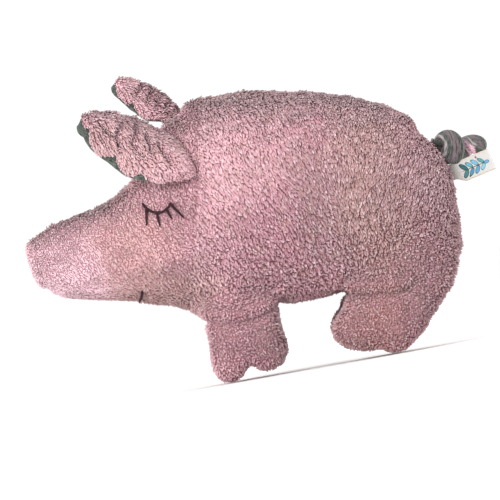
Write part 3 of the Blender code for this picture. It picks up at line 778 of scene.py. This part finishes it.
def panelSheet(name, chosenFaces):
    chosen = [faceCorners[k] for k in chosenFaces]
    used = sorted({corner for corners in chosen for corner in corners})
    index = {corner: k for k, corner in enumerate(used)}
    mesh = newMesh(name, formPlaces[used].tolist(), [], [[index[c] for c in corners] for corners in chosen])
    comb, share = combAndShare(formPlaces[used], formNormals[used])
    for distance, (width, cut) in ((toFold, pile["atFold"]), (toEar, pile["atEar"])):
        share = share * (1 - cut * np.exp(-((distance[used] / width) ** 2)))
    giveValues(mesh, "comb", comb)
    giveValues(mesh, "clump", clumpPlaces(formPlaces[used], pile["clumpLength"]))
    giveValues(mesh, "pileShare", share)
    # How far each point faces up: the mask for the painted shade on the top and back
    giveValues(mesh, "facingUp", formNormals[used][:, 2])
    return mesh


# The piles of the head and of the legs, and where the pile of a large cover is cut across
shortPile = {
    "spacing": 0.00104, "thickness": 0.00132, "length": 0.0048, "unrest": 0.5, "gather": 0.62, "roll": 0.8,
}
legPile = {
    "spacing": 0.00102, "thickness": 0.00140, "length": 0.0046, "stray": 0.45, "gather": 0.58, "roll": 0.9,
}
pileCuts = {"bodyCover": (-0.02, 0.06), "headCover": (-0.09,)}

for number, (name, nodes) in enumerate(coverPanels.items()):
    chosen = np.flatnonzero(faceOwner == number)
    cuts = pileCuts.get(name.removesuffix("Left").removesuffix("Right"), ())
    part = np.searchsorted(cuts, facePlaces[chosen, 0])
    furs = []
    for step in range(part.max() + 1):
        sheet = panelSheet(name, chosen[part == step])
        isShort = name.startswith(("head", "snout"))
        grower = shortGrower if isShort else pileGrower
        changes = shortPile if isShort else legPile if name.endswith("Leg") or name == "bellyPanel" else None
        furs.append(growPile(f"{name}Pile{step + 1}", sheet, grower, 11 + number * 7 + step, changes))
        bpy.data.meshes.remove(sheet)
    sheet = panelSheet(name, chosen)
    cover = newObject(name, sheet)
    sheet.materials.append(pileBacking)
    wall = cover.modifiers.new("backing", "SOLIDIFY")
    wall.thickness, wall.offset = form["backing"], -1.0
    settled(cover)
    for item in (cover, *furs):
        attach(item, "body")
    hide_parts(*nodes)
    print(name, "pile triangles:", [sum(len(p.vertices) - 2 for p in fur.data.polygons) for fur in furs])
bpy.data.objects.remove(soft)
print("covers done")


# Ears: a padded pile layer, and a smooth jersey lining that shows past its wavy edge

ears = {
    "length": 0.095,
    "width": 0.048,
    "cup": 0.006,
    "twistEnd": 0.7,
    "widths": (
        (0.0, 0.95), (0.22, 0.97), (0.36, 1.0), (0.5, 1.0), (0.64, 0.95), (0.76, 0.87), (0.86, 0.75),
        (0.93, 0.60), (0.975, 0.44), (1.0, 0.28),
    ),
    "pad": 0.0034,
    "rim": 0.0010,
    "lining": 0.0011,
    "wrinkle": 0.0012,
    "furrow": (0.0042, 0.0019),  # depth, width
    "rimWaves": ((0.0006, 31), (0.0004, 67)),  # how high, how close
    "rows": 60,
    "columns": 34,
    "pile": {
        "length": 0.0046, "spacing": 0.00092, "thickness": 0.00146, "unrest": 0.32, "unrestSize": 0.0085,
        "gather": 0.66, "gatherSize": 0.0030, "roll": 0.4, "stray": 0.2,
    },
    "lean": 1.25,
    "clumpLength": 0.30,
    "left": {
        "side": -1,
        "root": form["earRoots"][0],
        "bend": (-0.0973, -0.0652, 0.1984),
        "tip": (-0.1308, -0.0795, 0.2262),
        "edge": (-0.6018, -0.1003, -0.7923),
        "peekSide": 1,  # the edge past which the lining shows
        "shade": (0.46, -0.46),  # how dark the middle is, by the ear's greyer tone and by painted shade, and how that changes across
        "peeks": (  # where along that edge, how wide, how deep
            (0.94, 0.100, 0.0108), (0.595, 0.100, 0.0074), (0.38, 0.050, 0.0052),
        ),
        "edges": (  # how far the edge at v = -1 and then the edge at v = 1 lie out, root to tip
            ((0, 0.0008), (0.1, 0.0024), (0.25, 0.0024), (0.4, 0.0002), (0.6, -0.0008), (0.9, -0.0014),
             (1, -0.0026)),
            ((0, -0.0060), (0.08, -0.0030), (0.2, 0), (0.36, 0.0008), (0.46, 0), (0.52, -0.0022),
             (0.6, -0.0044), (0.7, -0.0050), (0.8, -0.0056), (0.9, -0.0072), (0.97, -0.0036), (1, -0.0028)),
        ),
        "furrows": (
            ((0.90, -0.45), (0.80, -0.20), (0.72, -0.02)),
            ((0.56, -0.80), (0.51, -0.45), (0.53, -0.10), (0.46, 0.12), (0.40, 0.30)),
            ((0.68, -0.65), (0.69, -0.20), (0.64, 0.05)),
            ((0.62, 0.15), (0.60, 0.50)),
            ((0.41, -0.50), (0.35, -0.10), (0.33, 0.10)),
            ((0.26, -0.30), (0.22, 0.10), (0.20, 0.40)),
            ((0.82, 0.10), (0.74, 0.35)),
        ),
    },
    "right": {
        "side": 1,
        "root": form["earRoots"][1],
        "bend": (-0.0486, 0.0709, 0.2300),
        "tip": (-0.0988, 0.0500, 0.2562),
        "edge": (0.4400, 0.8499, 0.2900),
        "peekSide": -1,
        # The far ear set darker: painted shade
        "shade": (0.60, 0.40),
        "peeks": ((0.99, 0.060, 0.0028), (0.76, 0.045, 0.0042), (0.51, 0.030, 0.0034)),
        "edges": (
            ((0, 0), (0.5, 0), (0.6, 0), (0.75, -0.0002), (0.9, -0.0010), (1, -0.0016)),
            ((0, 0), (0.45, -0.0016), (0.6, -0.0052), (0.8, -0.0072), (0.93, -0.0070), (1, -0.0026)),
        ),
        "furrows": (
            ((0.83, 0.40), (0.82, -0.50)),
            ((0.74, 0.50), (0.74, -0.10), (0.70, -0.60)),
            ((0.66, 0.60), (0.66, 0.00), (0.60, -0.60)),
            ((0.58, 0.60), (0.57, 0.00), (0.51, -0.60)),
            ((0.50, 0.60), (0.48, 0.00), (0.43, -0.60)),
            ((0.41, 0.60), (0.40, 0.00), (0.35, -0.60)),
        ),
    },
}


def earSheet(word, shrink):
    # The ear's middle sheet, u from root to tip and v from edge to edge; shrink(u, v) draws the edges in
    own = ears[word]
    root = [Vector(point) for point in own["root"]]
    bend, tip, edge = Vector(own["bend"]), Vector(own["tip"]), Vector(own["edge"]).normalized()
    start = (root[0] + root[2]) / 2
    rootHalf = (root[2] - root[0]).length / 2
    rootEdge = (root[2] - root[0]).normalized()
    places, normals, us, vs = [], [], [], []
    for row in range(ears["rows"] + 1):
        u = row / ears["rows"]
        centre = start * (1 - u) ** 2 + bend * (2 * u * (1 - u)) + tip * u * u
        heading = ((bend - start) * (1 - u) + (tip - bend) * u).normalized()
        turn = stepped(u / ears["twistEnd"], 0, 1)
        across = rootEdge.lerp(edge, turn).normalized()
        normal = (across.cross(heading) * own["side"]).normalized()
        nearRoot = 1 - turn
        half = between(fromTable(u, ears["widths"]) * ears["width"] / 2, rootHalf, nearRoot)
        for column in range(ears["columns"] + 1):
            v = 2 * column / ears["columns"] - 1
            t = (v + 1) / 2
            rootPoint = arc(root, t)
            straight = start + rootEdge * (rootHalf * v)
            w = v * (1 - shrink(u, v) / half)
            bow = (rootPoint - straight) * nearRoot - normal * (ears["cup"] * w * w * turn)
            places.append(centre + across * (half * w) + bow)
            normals.append(normal)
            us.append(u)
            vs.append(v)
    return np.array(places), np.array(normals), np.array(us), np.array(vs)


def closedLayer(name, front, rear):
    # Two grids of points, front and rear, joined round their rim
    rows, columns = ears["rows"], ears["columns"]
    wide, count = columns + 1, len(front)
    faces = []
    for r in range(rows):
        for k in range(columns):
            a = r * wide + k
            b = count + a
            faces += [(a, a + 1, a + 1 + wide, a + wide), (b, b + wide, b + 1 + wide, b + 1)]
    border = list(range(wide)) + [r * wide + columns for r in range(1, rows + 1)]
    border += [rows * wide + k for k in range(columns - 1, -1, -1)]
    border += [r * wide for r in range(rows - 1, 0, -1)]
    faces += [(b, a, count + a, count + b) for a, b in zip(border, border[1:] + border[:1])]
    return facedOut(newMesh(name, np.concatenate([front, rear]).tolist(), [], faces))


def clothMap(mesh, across, along):
    corner = cornersOf(mesh)
    giveMap(mesh, "cloth", np.stack([across[corner], along[corner]], 1))


liningJersey = jerseyFinish("liningJersey", (46, 54, 50), (112, 118, 112), ())


def makeEar(word):
    own = ears[word]

    def lyingOut(u, v):
        return fromTable(u, own["edges"][int(v > 0)])

    def plushShrink(u, v):
        (high, close), (low, closer) = ears["rimWaves"]
        wave = high * math.sin(u * close + (v > 0) * 1.7) + low * math.sin(u * closer)
        if v * own["peekSide"] <= 0:
            return wave - 0.0002 - lyingOut(u, v)
        peek = sum(depth * math.exp(-(((u - place) / width) ** 2)) for place, width, depth in own["peeks"])
        return wave + peek + 0.0003 - lyingOut(u, v)

    places, normals, us, vs = earSheet(word, plushShrink)
    # The pile layer's tip is drawn back from the lining's
    pulled = own["peeks"][0][2] * 0.7 * stepped(us, 0.84, 1.0) * stepped(vs * own["peekSide"], -0.9, 0.4)
    heading = np.array(Vector(own["tip"]) - Vector(own["bend"]))
    places = places - heading / np.linalg.norm(heading) * pulled[:, None]
    dome = np.sqrt(np.clip(1 - np.abs(vs) ** 2.4, 0, 1))  # 1 in the middle, 0 at the rim
    dome = dome * np.sqrt(np.clip(1 - ((us - 0.45) / 0.56) ** 8, 0, 1))
    side = np.full_like(us, own["side"] * 2.0)
    stretched = np.stack([(us + 0.10 * vs) * 9.0, (vs - 0.5 * us) * 2.6, side], 1)
    wrinkle = bumpy(stretched, 1.0, 3) + 0.5 * bumpy(stretched * 2.1, 1.0, 5)
    lines = np.concatenate([smoothLine(line, 16) for line in own["furrows"]])
    reach = np.array([ears["length"], ears["width"] / 2])
    offset = (np.stack([us, vs], 1)[:, None] - lines[None]) * reach
    depth, width = ears["furrow"]
    furrow = np.exp(-((offset**2).sum(2).min(1) / width**2)) * dome
    height = ears["rim"] + ears["pad"] * dome + (ears["wrinkle"] * wrinkle - depth * furrow) * dome
    front = places + normals * (0.0002 + height)[:, None]
    rear = places + normals * 0.0002
    padMesh = closedLayer(f"{word}EarPlush", front, rear)
    wide = len(front)
    fall = np.array([pile["combFront"][0], 0.0, pile["combFront"][1]])
    comb = fall - normals * (normals @ fall)[:, None]
    comb *= ears["lean"] / np.linalg.norm(comb, axis=1)[:, None]
    # Shorter pile at the rim, in the furrows and at the root
    share = (0.62 + 0.38 * dome) * (1 - 0.86 * furrow) * (0.45 + 0.55 * stepped(us, 0.0, 0.12))
    keep = [tuple(polygon.vertices) for polygon in padMesh.polygons if min(polygon.vertices) < wide]
    sheet = newMesh(f"{word}EarFace", [tuple(v.co) for v in padMesh.vertices], [], keep, smooth=False)
    giveValues(sheet, "comb", np.concatenate([comb, comb]))
    giveValues(sheet, "clump", clumpPlaces(placesOf(sheet), ears["clumpLength"]))
    giveValues(sheet, "pileShare", np.concatenate([share, share * 0.7]))
    # Darker along the furrows: painted shade in the creases
    shade = own["shade"][0] + own["shade"][1] * vs + 0.9 * furrow
    giveValues(sheet, "facingUp", np.concatenate([shade, shade]))
    fur = growPile(f"{word}EarPile", sheet, pileGrower, 101 + own["side"], ears["pile"])
    bpy.data.meshes.remove(sheet)
    padMesh.materials.append(pileBacking)
    pad = newObject(f"{word}EarPlush", padMesh)

    places, normals, us, vs = earSheet(word, lambda u, v: 0.0004 - lyingOut(u, v))
    ripple = 0.0012 * np.abs(bumpy(stretched, 0.8, 9)) + 0.0005 * bumpy(stretched, 0.4, 4) ** 2
    rounding = np.sqrt(np.clip(1 - np.abs(vs) ** 6, 0, 1))
    front = places - normals * 0.0003
    rear = places - normals * (0.0004 + ears["lining"] * (0.35 + 0.65 * rounding) + ripple)[:, None]
    liningMesh = closedLayer(f"{word}EarLining", front, rear)
    both = np.concatenate([us, us]) * ears["length"], np.concatenate([vs, vs]) * ears["width"] / 2
    clothMap(liningMesh, both[1], both[0])
    liningMesh.materials.append(liningJersey)
    lining = newObject(f"{word}EarLining", liningMesh)
    for item, slot in ((pad, "pile"), (fur, "pile"), (lining, "jersey")):
        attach(item, f"{word}_ear")
    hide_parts(f"{word}_ear_plush")
    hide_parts(f"{word}_ear_lining")
    print(word, "ear done")


makeEar("left")
makeEar("right")


# Tail: a curly jersey tube, gathered where it enters the seam

tail = {
    "root": (0.15026, 0.0, 0.15330),
    "coilStart": (0.15474, 0.0, 0.15647),
    "slope": 14.0,
    "swing": 20.0,
    "coilRadius": (0.0064, 0.0056),
    "pitch": 0.0182,
    "turns": 1.4,
    "topTurn": 0.3,
    "thickness": (0.0146, 0.0150),
    # How much wider than thick the slack tube lies from its root to its end, outwards and towards the body
    "slack": (
        ((0, 1), (0.1, 1.02), (0.8, 1.0), (1, 1)),
        ((0, 1), (0.1, 1.30), (0.3, 1.40), (0.42, 2.0), (0.54, 1.5), (0.8, 1.2), (1, 1)),
    ),
    # By turns, how far the loops lie drawn in towards the body, hang down, and lie to the right
    "drawnIn": (
        (0, 0), (0.12, 0.0030), (0.3, 0.0046), (0.5, 0.0060), (0.7, 0.0074), (0.9, 0.0056), (1.1, 0.0032),
        (1.4, 0.0022),
    ),
    "droop": (
        (0, 0), (0.12, 0.0010), (0.3, 0.0015), (0.55, 0.0028), (0.8, 0.0024), (1.0, 0.0020), (1.4, 0.0034),
    ),
    "aside": ((0, 0), (0.3, 0.0006), (0.6, 0.0034), (0.8, 0.0044), (1.0, 0.0036), (1.4, 0.0020)),
    "gathered": 0.0160,
    "gatheredShares": (0.42, 0.48, 0.50),  # the tube's half width in the seam
    "inSeam": (0.003, 0.0, 0.0012),
    "seamWay": (0.444, 0.0, -0.896),
    "sewnFlat": (0.0040, 0.0150),  # flat in the seam up to here, round again from here
    "flatShares": (0.58, 0.55),  # how much wider along the seam and thinner across it
    "steps": 60,
    "sides": 28,
    "pucker": 0.00035,
}
tailStripes = (  # middle, width across the cloth, strength, tone, start and end along the tail
    (-0.0015, 0.0020, 0.80, (190, 176, 178), 0.0, 0.040),
    (-0.0080, 0.0034, 0.55, (134, 110, 118), 0.0, 1.0),
    (-0.0150, 0.0016, 0.55, (160, 150, 148), 0.0, 1.0),
    (0.0085, 0.0050, 0.55, (70, 50, 56), 0.0, 1.0),
    (0.0080, 0.0120, 2.50, (250, 202, 220), 0.049, 0.070),
    (-0.0040, 0.0018, 0.70, (170, 162, 162), 0.050, 1.0),
)


def tailLine():
    swing, slope = math.radians(tail["swing"]), math.radians(tail["slope"])
    near = Vector((math.sin(swing), -math.cos(swing), 0))
    axis = Vector((math.cos(swing) * math.cos(slope), math.sin(swing) * math.cos(slope), -math.sin(slope)))
    up = near.cross(axis)

    def onCoil(turn):
        angle = 2 * math.pi * (turn - tail["topTurn"])
        share = turn / tail["turns"]
        reach = between(*tail["coilRadius"], share)
        drawnIn, droop, aside = (fromTable(turn, tail[word]) for word in ("drawnIn", "droop", "aside"))
        circle = (up * math.cos(angle) + near * math.sin(angle)) * reach
        return axis * (tail["pitch"] * turn - drawnIn) + circle + Vector((0, aside, -droop))

    root, first = Vector(tail["root"]), Vector(tail["coilStart"])
    points = [root - Vector(tail["inSeam"]), root, (root + first) / 2]
    radii = [tail["gathered"] * share for share in tail["gatheredShares"]]
    for k in range(tail["steps"] + 1):
        turn = tail["turns"] * k / tail["steps"]
        full = between(*tail["thickness"], k / tail["steps"]) / 2
        points.append(first + onCoil(turn) - onCoil(0))
        radii.append(full * (0.92 + 0.08 * stepped(turn, 0, 0.16)))
    end, heading = points[-1], (points[-1] - points[-2]).normalized()
    tip = radii[-1]
    for angle in (15, 32, 50, 66, 78, 86):  # the round end
        points.append(end + heading * (tip * math.sin(math.radians(angle))))
        radii.append(tip * math.cos(math.radians(angle)))
    return points, radii, axis


def tailMesh(points, radii, axis):
    seam, sides = Vector(tail["seamWay"]), tail["sides"]
    wider, thinner = tail["flatShares"]
    rings, spots, run = [], [], 0.0
    for k, (point, radius) in enumerate(zip(points, radii)):
        heading = (points[min(k + 1, len(points) - 1)] - points[max(k - 1, 0)]).normalized()
        wide = (axis - heading * axis.dot(heading)).normalized()
        across = heading.cross(wide)
        run += (point - points[max(k - 1, 0)]).length
        fuller = [fromTable(k / len(points), table) for table in tail["slack"]]
        flat = 1 - stepped(run, *tail["sewnFlat"])
        for side in range(sides):
            angle = 2 * math.pi * side / sides
            own = fuller[int(math.cos(angle) < 0)]
            offset = wide * (math.cos(angle) * own) + across * math.sin(angle)
            offset *= radius + tailDent(run, angle, radius)
            offset += (seam * (wider * offset.dot(seam)) - Vector((0, thinner * offset.y, 0))) * flat
            rings.append(tuple(point + offset))
            spots.append(((angle - math.pi) * tail["thickness"][0] / 2, run))
    count = len(points)
    ends = [tuple(reversed(range(sides))), tuple(range((count - 1) * sides, count * sides))]
    return facedOut(newMesh("curlyTail", rings, [], ringFaces(count, sides) + ends)), np.array(spots)


def tailDent(run, angle, radius):
    gather = math.sin(run / 0.0021 + 1.3 * math.sin(2 * angle)) * (0.5 + 0.5 * math.cos(angle + 0.8))
    long = math.sin(3 * angle + run / 0.012)
    return (gather + 0.6 * long) * tail["pucker"] * min(1.0, radius / 0.005)


tubeMesh, tubeSpots = tailMesh(*tailLine())
clothMap(tubeMesh, tubeSpots[:, 0], tubeSpots[:, 1])
tubeMesh.materials.append(jerseyFinish("tailJersey", (38, 44, 41), (98, 102, 98), tailStripes))
curlyTail = newObject("curlyTail", tubeMesh)
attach(curlyTail, "tail")
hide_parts("tail")
print("tail done")


# Ribbon label: one strip folded back on itself, with a small leaf print of its own

label = {
    "root": (0.15733, 0.0, 0.13373),
    "out": (0.78200, -0.59700, 0.18000),
    "side": (0.58528, 0.79864, 0.14012),
    "wide": (0.2280, 0.0038, -0.9736),
    "length": 0.0455,
    "inSeam": 0.0045,  # how much of the length is caught in the seam
    "width": 0.0175,
    "cloth": 0.00045,
    "gap": 0.0004,
    "bow": 0.0010,
    "curl": 0.0008,
    "pinch": 0.0045,  # how far the lower edge is drawn in at the seam
    "pinchEnds": (0.10, 0.34),
    "steps": 36,
    "across": 14,
    "thread": 0.0007,
    "selvedge": (0.0072, 0.0086),
}


def labelMesh():
    out, side, wide = (Vector(label[word]) for word in ("out", "side", "wide"))
    root = Vector(label["root"]) - out * label["inSeam"]
    steps, across = label["steps"], label["across"]
    middle = label["gap"] / 2 + label["cloth"] / 2
    bend = label["length"] - middle - label["cloth"] / 2
    turns = [math.pi * (k / 8 - 0.5) for k in range(9)]
    path = [(bend * k / steps, -middle) for k in range(steps)]
    path += [(bend + middle * math.cos(a), middle * math.sin(a)) for a in turns]
    path += [(bend * (1 - k / steps), middle) for k in range(1, steps + 1)]
    places, spots, run = [], [], 0.0
    for number, (along, lift) in enumerate(path):
        if number:
            run += math.dist(path[number - 1], path[number])
        share = along / label["length"]
        bow = label["bow"] * math.sin(math.pi * share)
        pinch = label["pinch"] * (1 - stepped(share, *label["pinchEnds"]))
        for k in range(across + 1):
            edge = k / across - 0.5
            curl = label["curl"] * (4 * edge * edge) * share
            down = label["width"] * edge - pinch * (edge + 0.5)
            places.append(tuple(root + out * along + side * (lift + bow - curl) + wide * down))
            spots.append((edge * label["width"], run))
    row = across + 1
    faces = [
        (r * row + k, r * row + k + 1, (r + 1) * row + k + 1, (r + 1) * row + k)
        for r in range(len(path) - 1) for k in range(across)
    ]
    return newMesh("ribbonLabel", places, [], faces), np.array(spots)


def ribbonFinish():
    material, net, shader = newFinish("labelRibbon", 0.6, 0.3, 0.1)
    across = net.add("ShaderNodeSeparateXYZ", {}, {0: net.add("ShaderNodeUVMap", {"uv_map": "cloth"})})
    along = net.beside(across, "Y")
    turn = 2 * math.pi / label["thread"]
    weave = net.maths("SINE", across * turn) * net.maths("SINE", along * turn)
    edge = net.ease(net.maths("ABSOLUTE", across), *label["selvedge"])
    colour = net.mixed(edge * 0.7, tint(202, 200, 196), tint(200, 188, 164))
    leaves = (  # along, across, turn, length, width, tone
        (0.0270, 0.0005, 0.00, 0.0120, 0.00030, (98, 84, 66)),
        (0.0163, -0.0024, 0.75, 0.0040, 0.0019, (46, 98, 104)),
        (0.0167, 0.0034, -0.75, 0.0038, 0.0018, (62, 122, 126)),
        (0.0221, -0.0026, 0.70, 0.0034, 0.0016, (98, 168, 184)),
        (0.0225, 0.0036, -0.70, 0.0034, 0.0016, (70, 140, 162)),
        (0.0281, -0.0026, 0.70, 0.0036, 0.0017, (112, 178, 206)),
        (0.0285, 0.0036, -0.70, 0.0036, 0.0017, (84, 152, 190)),
        (0.0345, -0.0022, 0.65, 0.0032, 0.0015, (72, 156, 158)),
        (0.0349, 0.0032, -0.65, 0.0032, 0.0015, (120, 190, 210)),
        (0.0397, 0.0005, 0.00, 0.0024, 0.0013, (90, 160, 196)),
        (0.0193, 0.0062, 0.0, 0.0008, 0.0008, (112, 88, 62)),
        (0.0313, -0.0060, 0.0, 0.0008, 0.0008, (112, 88, 62)),
    )
    for spotAlong, spotAcross, turn, long, wide, leafTone in leaves:
        a, b = along - spotAlong, across - spotAcross
        forth = a * math.cos(turn) + b * math.sin(turn)
        aside = b * math.cos(turn) - a * math.sin(turn)
        far = (forth / long) ** 2.0 + (aside / wide) ** 2.0
        colour = net.mixed(1 - net.ease(far, 1.1, 1.5), colour, tint(*(0.45 * part for part in leafTone)))
        colour = net.mixed(1 - net.ease(far, 0.7, 0.95), colour, tint(*leafTone))
    feed(net, shader, "Base Color", colour)
    raised(net, shader, 0.25, 0.0002, weave)
    return material


ribbonMesh, ribbonSpots = labelMesh()
clothMap(ribbonMesh, ribbonSpots[:, 0], ribbonSpots[:, 1])
ribbonMesh.materials.append(ribbonFinish())
ribbonLabel = newObject("ribbonLabel", ribbonMesh)
thick = ribbonLabel.modifiers.new("cloth", "SOLIDIFY")
thick.thickness, thick.offset = label["cloth"], 0.0
settled(ribbonLabel)
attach(ribbonLabel, "label")
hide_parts("label_ribbon")
print("label done")


# Embroidery: closed eyes with four lashes each, and a small stitch at each mouth corner

embroidery = {
    "eyeAt": ((-0.0816, 0.1500), 0.0235),  # middle and width
    "lid": (
        (-0.46, 0.150), (-0.41, 0.04), (-0.32, -0.06), (-0.18, -0.16), (-0.02, -0.22), (0.14, -0.215),
        (0.29, -0.15), (0.40, -0.06), (0.475, 0.02),
    ),
    "lashes": (
        ((-0.38, 0.00), (-0.42, -0.27), (-0.46, -0.54)),
        ((-0.06, -0.20), (-0.04, -0.42), (-0.03, -0.64)),
        ((0.29, -0.15), (0.34, -0.31), (0.40, -0.46)),
        ((0.46, 0.01), (0.63, -0.25), (0.80, -0.50)),
    ),
    "mouthAt": ((-0.1072, 0.0819), 0.0075),
    "mouth": ((0.20, 0.45), (0.10, 0.10), (-0.10, -0.25), (-0.30, -0.50)),
    "lift": 0.0012,
    "stitchEvery": 0.0005,
    "stitchLong": 0.0024,
    "stitchThick": 0.0023,
}


def threadFinish():
    material, net, shader = newFinish("eyeThread", 0.6, 0.2)
    strand = net.noise(net.objectPlace(), 1500.0, 2.0)
    feed(net, shader, "Base Color", net.mixed(strand, tint(30, 12, 18), tint(62, 34, 40)))
    raised(net, shader, 0.4, 0.0002, strand)
    return material


def stitchShape():
    rings = ((-0.5, 0.15), (-0.38, 0.42), (0.0, 0.5), (0.38, 0.42), (0.5, 0.15))
    hexagon = [(math.cos(math.pi * k / 3), math.sin(math.pi * k / 3)) for k in range(6)]
    corners = [(size * x, size * y, height) for height, size in rings for x, y in hexagon]
    ends = [tuple(reversed(range(6))), tuple(range(24, 30))]
    return newObject("satinStitch", newMesh("satinStitch", corners, [], ringFaces(len(rings), 6) + ends))


def stitchTree(shape, material):
    net, size = newTree("stitches", ("Every", "Long", "Thick"))
    line = net.add("GeometryNodeMeshToCurve", {}, {"Mesh": size["Geometry"]})
    line = net.add("GeometryNodeResampleCurve", {"mode": "LENGTH"}, {"Curve": line, "Length": size["Every"]})
    tangent = net.add("GeometryNodeInputTangent")
    inputs = {0: (-0.35,) * 3, 1: (0.35,) * 3, "Seed": 4}
    slant = net.add("FunctionNodeRandomValue", {"data_type": "FLOAT_VECTOR"}, inputs)
    slanted = net.vector("ADD", tangent, slant)
    turned = net.add("FunctionNodeAlignRotationToVector", {"axis": "Z"}, {"Vector": slanted})
    thick = size["Thick"] * (1 - 0.45 * net.add("GeometryNodeSplineParameter") ** 3.0)
    scale = net.add("ShaderNodeCombineXYZ", {}, {"X": thick, "Y": thick, "Z": size["Long"]})
    lock = net.add("GeometryNodeObjectInfo", {}, {"Object": shape}, "Geometry")
    inputs = {"Points": line, "Instance": lock, "Rotation": turned, "Scale": scale}
    return closeTree(net, net.add("GeometryNodeInstanceOnPoints", {}, inputs), material)


stitch = stitchShape()
stitcher = stitchTree(stitch, threadFinish())


def embroider(name, node, lines, centre, size, side):
    corners, edges = [], []
    for line in lines:
        first = len(corners)
        for across, up in smoothLine(line, 24):
            x, z = centre[0] + across * size, centre[1] + up * size
            hit, normal, _, _ = search.ray_cast(Vector((x, side * 0.3, z)), Vector((0, -side, 0)))
            corners.append(tuple(hit + normal * embroidery["lift"]))
        edges += [(k, k + 1) for k in range(first, len(corners) - 1)]
    item = newObject(name, newMesh(name, corners, edges, [], smooth=False))
    sizes = {"Every": "stitchEvery", "Long": "stitchLong", "Thick": "stitchThick"}
    grown(item, stitcher, {socket: embroidery[word] for socket, word in sizes.items()})
    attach(item, "body")
    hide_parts(node)


for word, side in (("left", -1), ("right", 1)):
    eye, mouth = (embroidery["lid"], *embroidery["lashes"]), (embroidery["mouth"],)
    embroider(f"{word}ClosedEye", f"{word}_eye", eye, *embroidery["eyeAt"], side)
    embroider(f"{word}MouthStitch", f"{word}_mouth_stitch", mouth, *embroidery["mouthAt"], side)
for helper in (*tuftShapes, *shortShapes, stitch):
    bpy.data.objects.remove(helper)
print("embroidery done")


# Studio: a pale floor, soft lights and the photograph's long, level, slightly rolled view

studio = {
    "floorSize": 30.0,
    "background": 1.04,
    "key": ((-1.5, -2.4, 1.3), 1.4, 55.0),  # place, size, power
    "fill": ((1.9, -1.8, 1.0), 1.8, 10.0),
    "rear": ((0.4, 2.4, 1.6), 2.0, 16.0),
    "lens": 600.0,
    "frameWidth": 0.4033,
    "aim": (-0.0149, 0.0, 0.1028),
    "lit": (0.0, 0.0, 0.12),
    "right": (0.9845, 0.0, -0.1754),
    "up": (0.1754, 0.0, 0.9845),
}


def makeStudio():
    scene = bpy.context.scene
    scene.view_settings.view_transform = "Standard"
    world = bpy.data.worlds.new("paleStudio")
    scene.world = world
    world.use_nodes = True
    background = world.node_tree.nodes["Background"].inputs
    background["Color"].default_value = (1.0, 1.0, 1.0, 1.0)
    background["Strength"].default_value = studio["background"]
    half = studio["floorSize"] / 2
    corners = [(-half, -half, 0), (half, -half, 0), (half, half, 0), (-half, half, 0)]
    mesh = newMesh("paleFloor", corners, [], [(0, 1, 2, 3)], smooth=False)
    floor = newObject("paleFloor", mesh)
    material, _, shader = newFinish("paleFloor", 0.9, 0.1)
    shader.inputs["Base Color"].default_value = (0.97, 0.97, 0.965, 1.0)
    mesh.materials.append(material)
    for name in ("key", "fill", "rear"):
        place, size, power = studio[name]
        lamp = bpy.data.lights.new(f"{name}Light", "AREA")
        lamp.shape, lamp.size, lamp.energy = "DISK", size, power
        item = newObject(f"{name}Light", lamp)
        item.location = place
        item.rotation_euler = (Vector(studio["lit"]) - Vector(place)).to_track_quat("-Z", "Y").to_euler()
    data = bpy.data.cameras.new("photoView")
    data.lens = studio["lens"]
    camera = newObject("photoView", data)
    right, up = Vector(studio["right"]), Vector(studio["up"])
    back = right.cross(up)
    distance = studio["lens"] * studio["frameWidth"] / data.sensor_width
    place = Vector(studio["aim"]) + back * distance
    camera.matrix_world = Matrix.Translation(place) @ Matrix((right, up, back)).transposed().to_4x4()
    data.clip_end = 100
    scene.camera = camera


makeStudio()
print("studio done")
